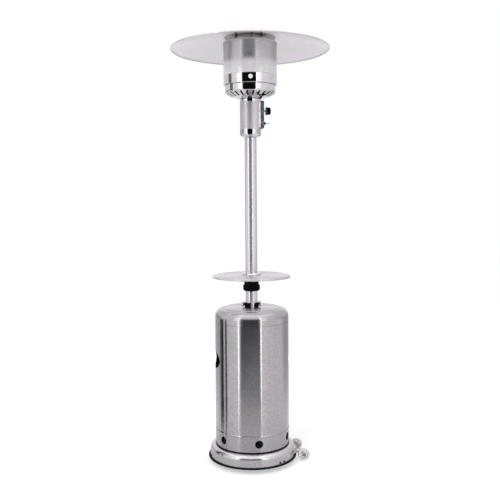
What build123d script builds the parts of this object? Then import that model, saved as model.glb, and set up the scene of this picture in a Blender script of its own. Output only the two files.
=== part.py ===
from build123d import *
import os
from math import atan2, cos, hypot, radians, sin, sqrt, tan

# Free-standing gas patio heater. Millimetres, +Z up, origin at the base's centre on the floor.
# The post is the Z axis, -Y is the front, and the control panel and the wheels are on +X.

# Clearances
SLIDE_GAP = 0.35        # housing collar and table clamp around the post
RUN_GAP = 0.05          # shafts that turn or slide in a bore
SEAT_GAP = 0.1          # pieces fixed one inside the other
REST_GAP = 0.2          # housing edge above the base
HOLE_GAP = 0.2          # screw and bolt holes
NUT_GAP = 0.4           # table nut around the clamp

# Post
POST_R = 31.3
POST_WALL = 1.5
POST_TAIL = 20.0
POST_L = 1088.0

# Base pan
FLANGE_W = 5.5
FLANGE_TOP_Z = 5.0
SKIRT_FOOT_R = 224.0
SKIRT_TAPER = 4.0
PAN_TOP_Z = 68.0
PAN_WALL = 1.5
PAN_SHOULDER = 25.0
BASE_TRIM_WALL = 2.2
BASE_TRIM_H = 8.0
BASE_TRIM_LIP = 4.0
BASE_TRIM_EDGE = 2.0

# Feet under the base
STAND_H = 23.0
PAD_R = 15.0
PAD_AT_R = 148.0
PAD_FIRST_AZ = 106.0
PAD_SPREAD_AZ = 14.0
PAD_EDGE = 2.0
PAD_STUD_R = 4.0
PAD_STUD_L = 9.0

# Ballast plate and the brackets that carry it
BALLAST_INSET = 45.0
BALLAST_T = 12.0
BRACKET_T = 2.5
BRACKET_LOW_Z = 10.0
BRACKET_BEND_Z = 36.0
BRACKET_SHELF = 24.0
BRACKET_SHELF_GAP = 20.0
BRACKET_ARC = 16.0
BRACKET_BEND = 4.0
BRACKET_FIRST_AZ = 32.5
SKIRT_SCREW_Z = 16.0
SKIRT_SCREW_AZ = 3.5
SKIRT_SCREW_R = 2.5
SKIRT_SCREW_HEAD_R = 5.0
SKIRT_SCREW_HEAD_H = 2.5
SKIRT_SCREW_LEN = 10.0

# Support legs
LEG_COUNT = 3
LEG_FIRST_AZ = 60.0
LEG_W = 40.0
LEG_T = 4.0
LEG_INSET = 17.0
LEG_FOOT = 42.0
LEG_SHOULDER_H = 87.0
LEG_TAB_H = 68.0
LEG_TOP_DROP = 14.0
LEG_FOOT_BEND = 10.0
LEG_SHOULDER_BEND = 40.0
LEG_TAB_BEND = 24.0
FOOT_BOLT_R = 4.0
FOOT_BOLT_OFFSET = 24.0
FOOT_BOLT_SPREAD = 11.0
FOOT_BOLT_HEAD_R = 7.5
FOOT_BOLT_HEAD_H = 5.0
POST_BOLT_R = 3.0
POST_BOLT_PITCH = 32.0
POST_BOLT_EDGE = 16.0
POST_BOLT_HEAD_R = 6.0
POST_BOLT_HEAD_H = 4.5
POST_NUT_R = 5.5
POST_NUT_H = 5.0

# Wheels
WHEEL_R = 30.0
WHEEL_W = 21.0
WHEEL_FLOOR_GAP = 1.0
WHEEL_RIM_T = 8.0
WHEEL_HUB_R = 9.5
WHEEL_WEB_T = 6.0
WHEEL_EDGE = 4.0
WHEEL_SPOKES = 5
WHEEL_WINDOW_R = 4.5
AXLE_OUT = 35.0
AXLE_R = 4.0
AXLE_CAP_R = 8.0
AXLE_CAP_T = 6.0
AXLE_CAP_FACE = 2.0
WHEEL_SIDE_GAP = 0.5
WHEEL_BRACKET_HALF_W = 69.0
WHEEL_BRACKET_T = 3.0
WHEEL_BRACKET_LOW_Z = 14.0
WHEEL_BRACKET_TOP_Z = 42.0
WHEEL_BRACKET_END_R = 12.0
WHEEL_BOLT_Y = 40.0
WHEEL_BOLT_R = 3.0
WHEEL_BOLT_HEAD_R = 6.0
WHEEL_BOLT_HEAD_H = 4.0
WHEEL_BOLT_TAIL = 9.0

# Tank housing
HOUSING_INSET = 27.0
HOUSING_WALL = 1.2
HOUSING_CAP_H = 69.5
HOUSING_H = 715.3
HOUSING_SHOULDER = 43.0
HOUSING_STEP_IN = 47.0
HOUSING_STEP_H = 3.0
HOUSING_STEP_RUN = 4.0
HOUSING_SLEEVE = 14.0
HOUSING_BEAD_UP = 84.8
HOUSING_BEAD_H = 5.0
HOUSING_BEAD_OUT = 2.0
HOUSING_TRIM_H = 6.0
HOUSING_TRIM_WALL = 1.6
HOUSING_TRIM_FLOOR = 2.5
VENT_COUNT = 6
VENT_R = 20.5
VENT_UP = 47.8
HAND_HOLE_DROP = 194.0
HAND_HOLE_HALF_W = 70.0
HAND_HOLE_HALF_H = 45.0

# Collar on the tank housing
COLLAR_WALL = 5.85
COLLAR_SPLIT_HALF = 11.0
COLLAR_BOSS_R = 7.0
COLLAR_BOSS_OUT = 3.0
COLLAR_BOSS_TOP = 1.0
COLLAR_EDGE = 2.0
WING_SCREW_R = 3.0
WING_ROOF_GAP = 3.0
WING_SCREW_TIP_GAP = 0.4
WING_HUB_R = 5.0
WING_HUB_L = 4.0
WING_SPAN_R = 13.0
WING_L = 6.0
WING_T = 3.0
WING_LOBE_R = 3.5

# Table
TABLE_R = 202.5
TABLE_UP = 168.5
TABLE_WALL = 1.5
TABLE_LIP = 13.0
TABLE_EDGE_SHARE = 0.75
HUB_W = 18.7
HUB_H = 11.0
HUB_EDGE = 6.0
HUB_LEDGE = 3.0
CLAMP_WALL = 6.35
CLAMP_FLANGE_INSET = 2.0
CLAMP_FLANGE_T = 4.0
CLAMP_DROP = 71.0
NUT_H = 31.0
NUT_DROP = 52.0
NUT_W = 6.0
NUT_ROUND = 11.0
NUT_EDGE = 2.0
NUT_TIP_BORE_GAP = 0.7
NUT_SCALLOPS = 10
NUT_SCALLOP_R = 7.0
NUT_SCALLOP_DEPTH = 3.0

# Control housing
CONTROL_R = 54.5
CONTROL_BAND_WALL = 0.8
CONTROL_WALL = 1.2
CONTROL_LAP = 38.0
CONTROL_NECK_H = 10.0
CONTROL_CORNER = 15.0
CONTROL_CAP_H = 42.0
CONTROL_SLEEVE = 12.0
CONTROL_BAND_H = 12.2
CONTROL_H = 194.2
CONTROL_LID_BORE_R = 30.0
WINDOW_HALF_W = 22.0
WINDOW_EDGE = 10.0

# Control panel
PANEL_OUT = 10.5
PANEL_FACE_DEPTH = 19.0
PANEL_HALF_W = 38.0
PANEL_UP = 6.0
PANEL_TOP_DROP = 7.2
PANEL_WALL = 2.0
PANEL_CORNER = 8.0
PANEL_FRONT_EDGE = 1.2
PANEL_DEPTH = 37.0
PILLAR_R = 5.0
PILLAR_INSET_Y = 8.0
PILLAR_INSET_Z = 12.0
PANEL_SCREW_R = 2.0
PANEL_SCREW_HEAD_R = 4.0
PANEL_SCREW_HEAD_H = 2.0
PANEL_SCREW_TAIL = 6.0

# Gas valve and its knob
VALVE_DROP = 49.0
VALVE_DEPTH = 83.0
VALVE_SNOUT_L = 21.0
VALVE_HALF_W = 17.0
VALVE_HALF_H = 18.0
VALVE_SNOUT_R = 15.0
VALVE_FLANGE_T = 8.0
VALVE_FLANGE_HALF_H = 12.0
PLUG_R = 9.0
PLUG_DEPTH = 49.0
PLUG_END_PLAY = 0.5
PLUG_NECK_R = 5.5
PLUG_NECK_OUT = 9.0
SPINDLE_R = 3.0
SPINDLE_DEPTH = 27.0
SPINDLE_POCKET = 8.0
PANEL_HOLE_GAP = 0.6
KNOB_R = 21.0
KNOB_L = 23.3
KNOB_OUT = 15.7
KNOB_SKIRT_T = 6.0
KNOB_GRIP_R = 18.8
KNOB_DRAFT = 0.6
KNOB_FLUTES = 12
KNOB_FLUTE_R = 4.0
KNOB_FLUTE_DEPTH = 1.5
KNOB_FACE = 4.0
KNOB_EDGE = 1.5
POINTER_W = 2.0
POINTER_L = 13.0
POINTER_T = 0.8
VALVE_SCREW_Y = 13.0
VALVE_SCREW_TAIL = 5.0
INLET_R = 8.0
INLET_L = 18.0
INLET_HEX_R = 11.0
INLET_HEX_L = 7.0
INLET_BORE_R = 3.0

# Igniter
IGNITER_UP = 27.0
IGNITER_R = 9.5
IGNITER_DEPTH = 65.0
IGNITER_NECK_R = 4.5
IGNITER_NECK_OUT = 13.0
IGNITER_NUT_R = 11.0
IGNITER_NUT_TIP_R = 5.6
IGNITER_NUT_T = 14.0
BUTTON_R = 2.75
BUTTON_DEPTH = 15.0
BUTTON_OUT = 34.0
BUTTON_POCKET = 8.0
BUTTON_EDGE = 1.5

# Tilt switch
TILT_R = 9.0
TILT_H = 30.0
TILT_INSET = 18.5
TILT_UP = 31.0
TILT_CLIP_HALF_W = 7.0
TILT_CLIP_H = 16.0

# Burner bowl
BOWL_R = 129.5
BOWL_WALL = 1.2
BOWL_FLAT_R = 50.0
BOWL_MID_INSET = 34.5
BOWL_MID_RISE = 14.0
BOWL_CORNER_UP = 32.8
BOWL_H = 68.8
BOWL_LIP = 11.0
BOWL_BORE_R = 22.0
BOWL_FLAT_BEND = 60.0
BOWL_MID_BEND = 180.0
BOWL_CORNER = 10.0
BOWL_LIP_BEND = 2.0
SLOT_COUNT = 24
SLOT_L = 37.0
SLOT_INSET = 4.5
SLOT_W = 10.0
SLOT_FIRST_AZ = -2.5

# Burner head, riser and orifice
RISER_R = 5.0
RISER_BORE_R = 3.5
RISER_UP = 5.8
ORIFICE_R = 8.0
ORIFICE_H = 12.0
ORIFICE_BORE_R = 1.5
MIXER_R = 17.0
MIXER_WALL = 1.5
MIXER_FLANGE_INSET = 0.5
MIXER_UP = 59.8
AIR_HOLE_R = 5.0
AIR_HOLE_UP = 14.0
AIR_HOLES = 4
BURNER_R = 80.0
BURNER_H = 22.0
BURNER_WALL = 1.5
BURNER_PORTS = 12
BURNER_PORT_R = 4.0
HEAD_SCREWS = 4
HEAD_SCREW_AT_R = 36.0
HEAD_SCREW_R = 2.0
HEAD_SCREW_HEAD_R = 3.8
HEAD_SCREW_HEAD_H = 2.4
HEAD_SCREW_LEN = 8.0

# Pilot group
PILOT_AZ = -9.0
PILOT_INSET = 25.5
PILOT_R = 5.0
PILOT_H = 22.0
PILOT_TAB_HALF_W = 16.0
PILOT_TAB_T = 1.5
PILOT_TAB_PAST = 1.5
PILOT_TAB_IN = 8.0
PILOT_PITCH = 11.0
PILOT_DROP_R = 48.0
PILOT_TURN_DROP = 29.0
PILOT_DROP_UP = 12.8
PILOT_BEND = 9.0
PILOT_TUBE_R = 2.0
THERMOCOUPLE_R = 1.6
THERMOCOUPLE_TIP = 24.0
ELECTRODE_R = 1.5
ELECTRODE_TIP = 20.0
LEAD_END_GAP = 0.6
LEAD_HOLE_GAP = 0.8

# Emitter
EMITTER_PAST = 8.5
EMITTER_WALL = 0.8
BAND_H = 47.0
BAND_LEDGE = 16.0
BAND_BEND = 3.0
SCREEN_WALL = 1.0
SCREEN_LAP = 6.0
EMITTER_H = 216.0
CAP_SKIRT = 13.0
CAP_BEND = 4.0
LIGHT_HOLE_R = 11.0
LIGHT_HOLE_UP = 27.0
LIGHT_PLUG_RIM = 2.0
LIGHT_PLUG_DEPTH = 4.0
BAND_SCREWS = 6
BAND_SCREW_INSET = 4.5
BAND_SCREW_AZ = 30.0

# Reflector
REFLECTOR_R = 406.0
REFLECTOR_WALL = 1.0
REFLECTOR_UP = 30.0
REFLECTOR_FLAT_R = 100.0
REFLECTOR_DROP = 66.0
REFLECTOR_BULGE = 10.5
RIM_R = 3.5
STUD_COUNT = 3
STUD_AT_R = 75.0
STUD_R = 3.0
STUD_UP = 27.0
STUD_HEAD_R = 6.0
STUD_HEAD_H = 4.0
SPACER_R = 7.0
WASHER_R = 11.0
WASHER_T = 1.5
REFLECTOR_NUT_R = 6.0
REFLECTOR_NUT_H = 9.0
REFLECTOR_NUT_WING = 14.0
REFLECTOR_NUT_WING_H = 12.0
REFLECTOR_NUT_WING_T = 3.0

# Derived places
SKIRT_HEAD_R = SKIRT_FOOT_R - SKIRT_TAPER
BALLAST_R = SKIRT_HEAD_R - BALLAST_INSET
AXLE_X = SKIRT_FOOT_R + AXLE_OUT
HOUSING_R = SKIRT_HEAD_R - HOUSING_INSET
HOUSING_STEP_R = HOUSING_R - HOUSING_STEP_IN
LEG_R = HOUSING_R - LEG_INSET
HUB_R = POST_R + HUB_W
CLAMP_FLANGE_R = HUB_R - CLAMP_FLANGE_INSET
PANEL_X = CONTROL_R + PANEL_OUT
PANEL_FRAME_X = PANEL_X - PANEL_FACE_DEPTH
VALVE_BACK_X = PANEL_X - VALVE_DEPTH
VALVE_BLOCK_X = PANEL_X - VALVE_SNOUT_L
PLUG_BACK_X = PANEL_X - PLUG_DEPTH
SPINDLE_BACK_X = PANEL_X - SPINDLE_DEPTH
IGNITER_BACK_X = PANEL_X - IGNITER_DEPTH
BUTTON_BACK_X = PANEL_X - BUTTON_DEPTH
TILT_X = TILT_INSET - CONTROL_R
BOWL_MID_R = BOWL_R - BOWL_MID_INSET
SLOT_OUT_R = BOWL_R - SLOT_INSET
SLOT_IN_R = SLOT_OUT_R - SLOT_L
PILOT_AT_R = BOWL_R - PILOT_INSET
PILOT_TAB_OUT_R = BOWL_R + PILOT_TAB_PAST
EMITTER_R = BOWL_R + EMITTER_PAST
BAND_SCREW_AT_R = BOWL_R - BAND_SCREW_INSET
FLANGE_R = SKIRT_FOOT_R + FLANGE_W
PAN_UNDER_Z = PAN_TOP_Z - PAN_WALL
AXLE_Z = WHEEL_R + WHEEL_FLOOR_GAP - STAND_H
HOUSING_LOW_Z = PAN_TOP_Z + REST_GAP
POST_BORE_R = POST_R + SLIDE_GAP
CONTROL_BODY_R = CONTROL_R - CONTROL_BAND_WALL - SEAT_GAP
PANEL_BACK_X = PANEL_X - PANEL_WALL
VALVE_FLANGE_X = PANEL_BACK_X - VALVE_FLANGE_T
BOWL_SLOPE = atan2(BOWL_MID_RISE, BOWL_MID_R - BOWL_FLAT_R)
MIXER_FLANGE_R = BOWL_FLAT_R - BOWL_FLAT_BEND * tan(BOWL_SLOPE / 2) - MIXER_FLANGE_INSET
SCREEN_R = EMITTER_R - EMITTER_WALL - SEAT_GAP
BASE_TRIM_R = FLANGE_R + BASE_TRIM_WALL
HOUSING_TOP_Z = HOUSING_LOW_Z + HOUSING_H
HOUSING_SEAM_Z = HOUSING_TOP_Z - HOUSING_CAP_H
HOUSING_BEAD_Z = HOUSING_LOW_Z + HOUSING_BEAD_UP
VENT_Z = HOUSING_LOW_Z + VENT_UP
HAND_HOLE_Z = HOUSING_SEAM_Z - HAND_HOLE_DROP
LEG_TOP_Z = HOUSING_SEAM_Z - LEG_TOP_DROP
LEG_TAB_Z = LEG_TOP_Z - LEG_TAB_H
LEG_BEND_Z = LEG_TAB_Z - LEG_SHOULDER_H
POST_BOTTOM_Z = LEG_TAB_Z - POST_TAIL
POST_TOP_Z = POST_BOTTOM_Z + POST_L
COLLAR_R = POST_BORE_R + COLLAR_WALL
CLAMP_R = POST_BORE_R + CLAMP_WALL
NUT_R = CLAMP_R + NUT_W
CONTROL_NECK_Z = POST_TOP_Z - CONTROL_LAP
CONTROL_CORNER_Z = CONTROL_NECK_Z + CONTROL_NECK_H
CONTROL_CAP_TOP_Z = CONTROL_NECK_Z + CONTROL_CAP_H
CONTROL_TOP_Z = CONTROL_NECK_Z + CONTROL_H
CONTROL_BAND_LOW_Z = CONTROL_TOP_Z - CONTROL_BAND_H
PANEL_LOW_Z = CONTROL_CAP_TOP_Z + PANEL_UP
PANEL_TOP_Z = CONTROL_TOP_Z - PANEL_TOP_DROP
VALVE_Z = PANEL_TOP_Z - VALVE_DROP
IGNITER_Z = PANEL_LOW_Z + IGNITER_UP
TILT_Z = CONTROL_CAP_TOP_Z + TILT_UP
BOWL_CORNER_Z = CONTROL_TOP_Z + BOWL_CORNER_UP
BOWL_TOP_Z = CONTROL_TOP_Z + BOWL_H
RISER_TOP_Z = CONTROL_TOP_Z + RISER_UP
MIXER_TOP_Z = CONTROL_TOP_Z + MIXER_UP
PILOT_TURN_Z = BOWL_TOP_Z - PILOT_TURN_DROP
PILOT_DROP_Z = CONTROL_TOP_Z + PILOT_DROP_UP
BAND_TOP_Z = BOWL_TOP_Z + BAND_H
EMITTER_TOP_Z = BOWL_TOP_Z + EMITTER_H
LIGHT_HOLE_Z = BOWL_TOP_Z + LIGHT_HOLE_UP
REFLECTOR_TOP_Z = EMITTER_TOP_Z + REFLECTOR_UP
REFLECTOR_RIM_Z = REFLECTOR_TOP_Z - REFLECTOR_DROP
STUD_TOP_Z = REFLECTOR_TOP_Z + STUD_UP
HOUSING_ROOF_Z = HOUSING_TOP_Z + HOUSING_STEP_H
WING_SCREW_Z = HOUSING_ROOF_Z + WING_ROOF_GAP + WING_SPAN_R
COLLAR_TOP_Z = WING_SCREW_Z + COLLAR_BOSS_R + COLLAR_BOSS_TOP
TABLE_EDGE = TABLE_EDGE_SHARE * TABLE_LIP
CONTROL_LID_Z = CONTROL_TOP_Z - CONTROL_BAND_WALL
VALVE_TOP_Z = VALVE_Z + VALVE_HALF_H
BOWL_FLOOR_Z = CONTROL_TOP_Z + BOWL_WALL
BAND_FLOOR_Z = BOWL_TOP_Z + EMITTER_WALL
CAP_UNDER_Z = EMITTER_TOP_Z - EMITTER_WALL
REFLECTOR_UNDER_Z = REFLECTOR_TOP_Z - REFLECTOR_WALL
TABLE_TOP_Z = HOUSING_ROOF_Z + TABLE_UP
CLAMP_BOTTOM_Z = TABLE_TOP_Z - CLAMP_DROP
NUT_TOP_Z = TABLE_TOP_Z - NUT_DROP
NUT_BOTTOM_Z = NUT_TOP_Z - NUT_H


# Helpers
def outline(points, radii):
    """Closed face in the XZ plane from (radius, height) points, with a corner radius at each."""
    return Plane.XZ * make_face(FilletPolyline(*points, radius=radii, close=True))


def turned(*points):
    """Solid of revolution from a sharp-cornered outline."""
    return revolve(Plane.XZ * make_face(Polyline(*points, close=True)), Axis.Z)


def ring(outer_r, inner_r, low_z, high_z):
    """Plain ring about the Z axis."""
    return turned((inner_r, low_z), (outer_r, low_z), (outer_r, high_z), (inner_r, high_z))


def shifted(points, amount):
    """Points of an open polyline moved sideways to its left, with mitred corners."""
    normals = []
    for (x0, y0), (x1, y1) in zip(points, points[1:]):
        run = hypot(x1 - x0, y1 - y0)
        normals.append(((y0 - y1) / run, (x1 - x0) / run))
    moved = []
    for index, (x, y) in enumerate(points):
        before = normals[max(index - 1, 0)]
        after = normals[min(index, len(normals) - 1)]
        scale = amount / (1 + before[0] * after[0] + before[1] * after[1])
        moved.append((x + (before[0] + after[0]) * scale, y + (before[1] + after[1]) * scale))
    return moved


def sheet_face(points, bends, wall):
    """Section of bent sheet: the line of one face, thickened by the wall to its left.

    A bend is the radius of the line at a corner, and the other face gets the matching one."""
    other = shifted(points, wall)
    other_bends = []
    for (x0, y0), (x1, y1), (x2, y2), bend in zip(points, points[1:], points[2:], bends):
        turns_left = (x1 - x0) * (y2 - y1) - (y1 - y0) * (x2 - x1) > 0
        other_bend = bend - wall if turns_left else bend + wall
        other_bends.append(max(other_bend, 0) if bend else 0)
    radii = [0, *bends, 0, 0, *reversed(other_bends), 0]
    return outline([*points, *reversed(other)], radii)


def spun_sheet(points, bends, wall):
    """Sheet section turned about the Z axis."""
    return revolve(sheet_face(points, bends, wall), Axis.Z)


def at_azimuth(azimuth, radius=0.0, z=0.0):
    """Location at an azimuth from the front (-Y) towards +X, with its local X pointing outwards."""
    return Rotation(0, 0, azimuth - 90) * Pos(radius, 0, z)


def rod_x(radius, low_x, high_x, y=0.0, z=0.0):
    """Cylinder along X."""
    return Pos((low_x + high_x) / 2, y, z) * Rotation(0, 90, 0) * Cylinder(radius, high_x - low_x)


def rod_y(radius, low_y, high_y, x=0.0, z=0.0):
    """Cylinder along Y."""
    return Pos(x, (low_y + high_y) / 2, z) * Rotation(90, 0, 0) * Cylinder(radius, high_y - low_y)


def rod_z(radius, low_z, high_z, x=0.0, y=0.0):
    """Cylinder along Z."""
    return Pos(x, y, (low_z + high_z) / 2) * Cylinder(radius, high_z - low_z)


def block(low, high):
    """Box between two corners."""
    size = [b - a for a, b in zip(low, high)]
    centre = [(a + b) / 2 for a, b in zip(low, high)]
    return Pos(*centre) * Box(*size)


def group(solids):
    """Separate solids kept in one node."""
    return Compound(children=[solid for part in solids for solid in part.solids()])


def even(count, first=0.0):
    """Azimuths of a full circle of equal steps."""
    return [first + 360 / count * index for index in range(count)]


# Base
def skirt_r(z):
    """Outer radius of the tapered skirt at a height."""
    share = (z - FLANGE_TOP_Z) / (PAN_TOP_Z - FLANGE_TOP_Z)
    return SKIRT_FOOT_R + (SKIRT_HEAD_R - SKIRT_FOOT_R) * share


def leg_bolt_places():
    """Locations of the leg foot bolts on the pan's top."""
    at_r = LEG_R - FOOT_BOLT_OFFSET
    return [
        at_azimuth(azimuth) * Pos(at_r, side * FOOT_BOLT_SPREAD, PAN_TOP_Z)
        for azimuth in even(LEG_COUNT, LEG_FIRST_AZ)
        for side in (-1, 1)
    ]


def skirt_screw_places():
    """Locations of the skirt screws, with local X pointing outwards from the skirt's face."""
    return [
        at_azimuth(azimuth + side * SKIRT_SCREW_AZ, skirt_r(SKIRT_SCREW_Z), SKIRT_SCREW_Z)
        for azimuth in even(LEG_COUNT, BRACKET_FIRST_AZ)
        for side in (-1, 1)
    ]


def wheel_bolt_places():
    """Locations of the wheel bracket bolts on the skirt."""
    z = (WHEEL_BRACKET_LOW_Z + WHEEL_BRACKET_TOP_Z) / 2
    face_x = sqrt(skirt_r(z) ** 2 - WHEEL_BOLT_Y ** 2)
    return [Pos(face_x, side * WHEEL_BOLT_Y, z) for side in (-1, 1)]


def foot_places():
    """Rotations of the feet, in pairs that miss the leg bolts and the brackets."""
    return [
        at_azimuth(azimuth + side * PAD_SPREAD_AZ)
        for azimuth in even(LEG_COUNT, PAD_FIRST_AZ)
        for side in (-1, 1)
    ]


def base_pan():
    line = [
        (FLANGE_R, FLANGE_TOP_Z),
        (SKIRT_FOOT_R, FLANGE_TOP_Z),
        (SKIRT_HEAD_R, PAN_TOP_Z),
        (0, PAN_TOP_Z),
    ]
    pan = spun_sheet(line, [PAN_WALL, PAN_SHOULDER], PAN_WALL)
    reach = 4 * PAN_WALL
    for place in leg_bolt_places():
        pan -= place * Cylinder(FOOT_BOLT_R + HOLE_GAP, reach)
    for place in skirt_screw_places():
        pan -= place * rod_x(SKIRT_SCREW_R + HOLE_GAP, -reach, reach)
    for place in wheel_bolt_places():
        pan -= place * rod_x(WHEEL_BOLT_R + HOLE_GAP, -reach, reach)
    return pan


def base_edge_trim():
    inner_r = FLANGE_R - BASE_TRIM_LIP
    slot_low = FLANGE_TOP_Z - PAN_WALL
    points = [
        (inner_r, 0),
        (BASE_TRIM_R, 0),
        (BASE_TRIM_R, BASE_TRIM_H),
        (inner_r, BASE_TRIM_H),
        (inner_r, FLANGE_TOP_Z),
        (FLANGE_R, FLANGE_TOP_Z),
        (FLANGE_R, slot_low),
        (inner_r, slot_low),
    ]
    return revolve(outline(points, [0, BASE_TRIM_EDGE, BASE_TRIM_EDGE, 0, 0, 0, 0, 0]), Axis.Z)


def base_ballast():
    plate = ring(BALLAST_R, 0, PAN_UNDER_Z - BALLAST_T, PAN_UNDER_Z)
    for place in leg_bolt_places():
        plate -= place * Cylinder(FOOT_BOLT_R + HOLE_GAP, 4 * BALLAST_T)
    for place in foot_places():
        plate -= place * rod_z(PAD_STUD_R + HOLE_GAP, 0, PAN_UNDER_Z, PAD_AT_R)
    return plate


def base_feet():
    """Rubber feet that hold the base's edge off the floor, each on a stud in the ballast."""
    under = PAN_UNDER_Z - BALLAST_T
    foot = rod_z(PAD_R, -STAND_H, under, PAD_AT_R)
    foot = fillet(foot.edges().group_by(Axis.Z)[0], PAD_EDGE)
    foot += rod_z(PAD_STUD_R, under, under + PAD_STUD_L, PAD_AT_R)
    return group(place * foot for place in foot_places())


def base_brackets():
    under = PAN_UNDER_Z - BALLAST_T
    inset = PAN_WALL + SEAT_GAP
    line = [
        (skirt_r(BRACKET_LOW_Z) - inset, BRACKET_LOW_Z),
        (skirt_r(BRACKET_BEND_Z) - inset, BRACKET_BEND_Z),
        (BALLAST_R + BRACKET_SHELF_GAP, under),
        (BALLAST_R - BRACKET_SHELF, under),
    ]
    face = sheet_face(line, [BRACKET_BEND, BRACKET_BEND], BRACKET_T)
    one = Rotation(0, 0, -BRACKET_ARC / 2) * revolve(face, Axis.Z, BRACKET_ARC)
    brackets = group(at_azimuth(azimuth) * one for azimuth in even(LEG_COUNT, BRACKET_FIRST_AZ))
    for place in skirt_screw_places():
        brackets -= place * rod_x(SKIRT_SCREW_R + HOLE_GAP, -SKIRT_SCREW_LEN, SKIRT_SCREW_LEN)
    return group([brackets])


def skirt_screws():
    lift = SKIRT_SCREW_HEAD_R * (SKIRT_FOOT_R - SKIRT_HEAD_R) / (PAN_TOP_Z - FLANGE_TOP_Z)
    screw = rod_x(SKIRT_SCREW_R, -SKIRT_SCREW_LEN, lift)
    head = rod_x(SKIRT_SCREW_HEAD_R, lift, lift + SKIRT_SCREW_HEAD_H)
    head = fillet(head.edges().group_by(Axis.X)[-1], SKIRT_SCREW_HEAD_H / 2)
    return group(place * (screw + head) for place in skirt_screw_places())


def leg_bolts():
    top = LEG_T
    nut_top = -PAN_WALL - BALLAST_T
    bolt = rod_z(FOOT_BOLT_R, nut_top - 2 * FOOT_BOLT_HEAD_H, top)
    bolt += Pos(0, 0, top) * extrude(RegularPolygon(FOOT_BOLT_HEAD_R, 6), FOOT_BOLT_HEAD_H)
    bolt += Pos(0, 0, nut_top) * extrude(RegularPolygon(FOOT_BOLT_HEAD_R, 6), -FOOT_BOLT_HEAD_H)
    return group(place * bolt for place in leg_bolt_places())


def post_bolt_heights():
    """Heights of the bolts that join a leg to the post."""
    return [LEG_TOP_Z - POST_BOLT_EDGE, LEG_TOP_Z - POST_BOLT_EDGE - POST_BOLT_PITCH]


def support_leg(azimuth):
    tab_r = POST_R + SEAT_GAP + LEG_T
    line = [
        (LEG_R - LEG_FOOT, PAN_TOP_Z),
        (LEG_R, PAN_TOP_Z),
        (LEG_R, LEG_BEND_Z),
        (tab_r, LEG_TAB_Z),
        (tab_r, LEG_TOP_Z),
    ]
    face = sheet_face(line, [LEG_FOOT_BEND, LEG_SHOULDER_BEND, LEG_TAB_BEND], LEG_T)
    leg = at_azimuth(azimuth) * extrude(face, LEG_W / 2, both=True)
    for place in leg_bolt_places():
        leg -= place * Cylinder(FOOT_BOLT_R + HOLE_GAP, 4 * LEG_T)
    for z in post_bolt_heights():
        leg -= at_azimuth(azimuth, z=z) * rod_x(POST_BOLT_R + HOLE_GAP, 0, 2 * tab_r)
    return leg


def leg_post_bolts():
    head_x = POST_R + SEAT_GAP + LEG_T
    inside = POST_R - POST_WALL
    nut_x = sqrt(inside ** 2 - POST_NUT_R ** 2) - SEAT_GAP
    bolt = rod_x(POST_BOLT_R, nut_x - POST_NUT_H, head_x)
    bolt += rod_x(POST_BOLT_HEAD_R, head_x, head_x + POST_BOLT_HEAD_H)
    bolt += rod_x(POST_NUT_R, nut_x - POST_NUT_H, nut_x)
    return group(
        at_azimuth(azimuth, z=z) * bolt
        for azimuth in even(LEG_COUNT, LEG_FIRST_AZ)
        for z in post_bolt_heights()
    )


def post():
    tube = ring(POST_R, POST_R - POST_WALL, POST_BOTTOM_Z, POST_TOP_Z)
    for azimuth in even(LEG_COUNT, LEG_FIRST_AZ):
        for z in post_bolt_heights():
            tube -= at_azimuth(azimuth, z=z) * rod_x(POST_BOLT_R + HOLE_GAP, 0, 2 * POST_R)
    return tube


# Wheels
def wheel_inner_y():
    """Distance from the middle to a wheel's inner face."""
    return WHEEL_BRACKET_HALF_W + WHEEL_SIDE_GAP


def wheel_bracket():
    line = [
        (skirt_r(WHEEL_BRACKET_TOP_Z), WHEEL_BRACKET_TOP_Z),
        (skirt_r(WHEEL_BRACKET_LOW_Z), WHEEL_BRACKET_LOW_Z),
    ]
    face = sheet_face(line, [], WHEEL_BRACKET_T)
    arm_edge = WHEEL_BRACKET_HALF_W
    strap = Rotation(0, 0, -90) * revolve(face, Axis.Z, 180)
    strap &= block((0, -arm_edge, 0), (AXLE_X, arm_edge, PAN_TOP_Z))
    bracket = strap
    skirt = turned(
        (0, 0),
        (skirt_r(0), 0),
        (skirt_r(PAN_TOP_Z), PAN_TOP_Z),
        (0, PAN_TOP_Z),
    )
    root_x = skirt_r(PAN_TOP_Z) - PAN_SHOULDER
    arm_points = [
        (root_x, WHEEL_BRACKET_LOW_Z),
        (BASE_TRIM_R + WHEEL_BRACKET_T, WHEEL_BRACKET_LOW_Z),
        (AXLE_X - WHEEL_BRACKET_END_R, AXLE_Z),
        (AXLE_X + WHEEL_BRACKET_END_R, AXLE_Z),
        (root_x, WHEEL_BRACKET_TOP_Z),
    ]
    arm_face = Plane.XZ * make_face(Polyline(*arm_points, close=True))
    for side in (-1, 1):
        inner, outer = sorted((side * (arm_edge - WHEEL_BRACKET_T), side * arm_edge))
        arm = Pos(0, outer, 0) * extrude(arm_face, WHEEL_BRACKET_T)
        arm += rod_y(WHEEL_BRACKET_END_R, inner, outer, AXLE_X, AXLE_Z)
        bracket += arm - skirt
    bracket -= rod_y(AXLE_R + SEAT_GAP, -2 * arm_edge, 2 * arm_edge, AXLE_X, AXLE_Z)
    for place in wheel_bolt_places():
        bracket -= place * rod_x(WHEEL_BOLT_R + HOLE_GAP, -WHEEL_BOLT_TAIL, AXLE_X)
    return bracket


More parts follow.
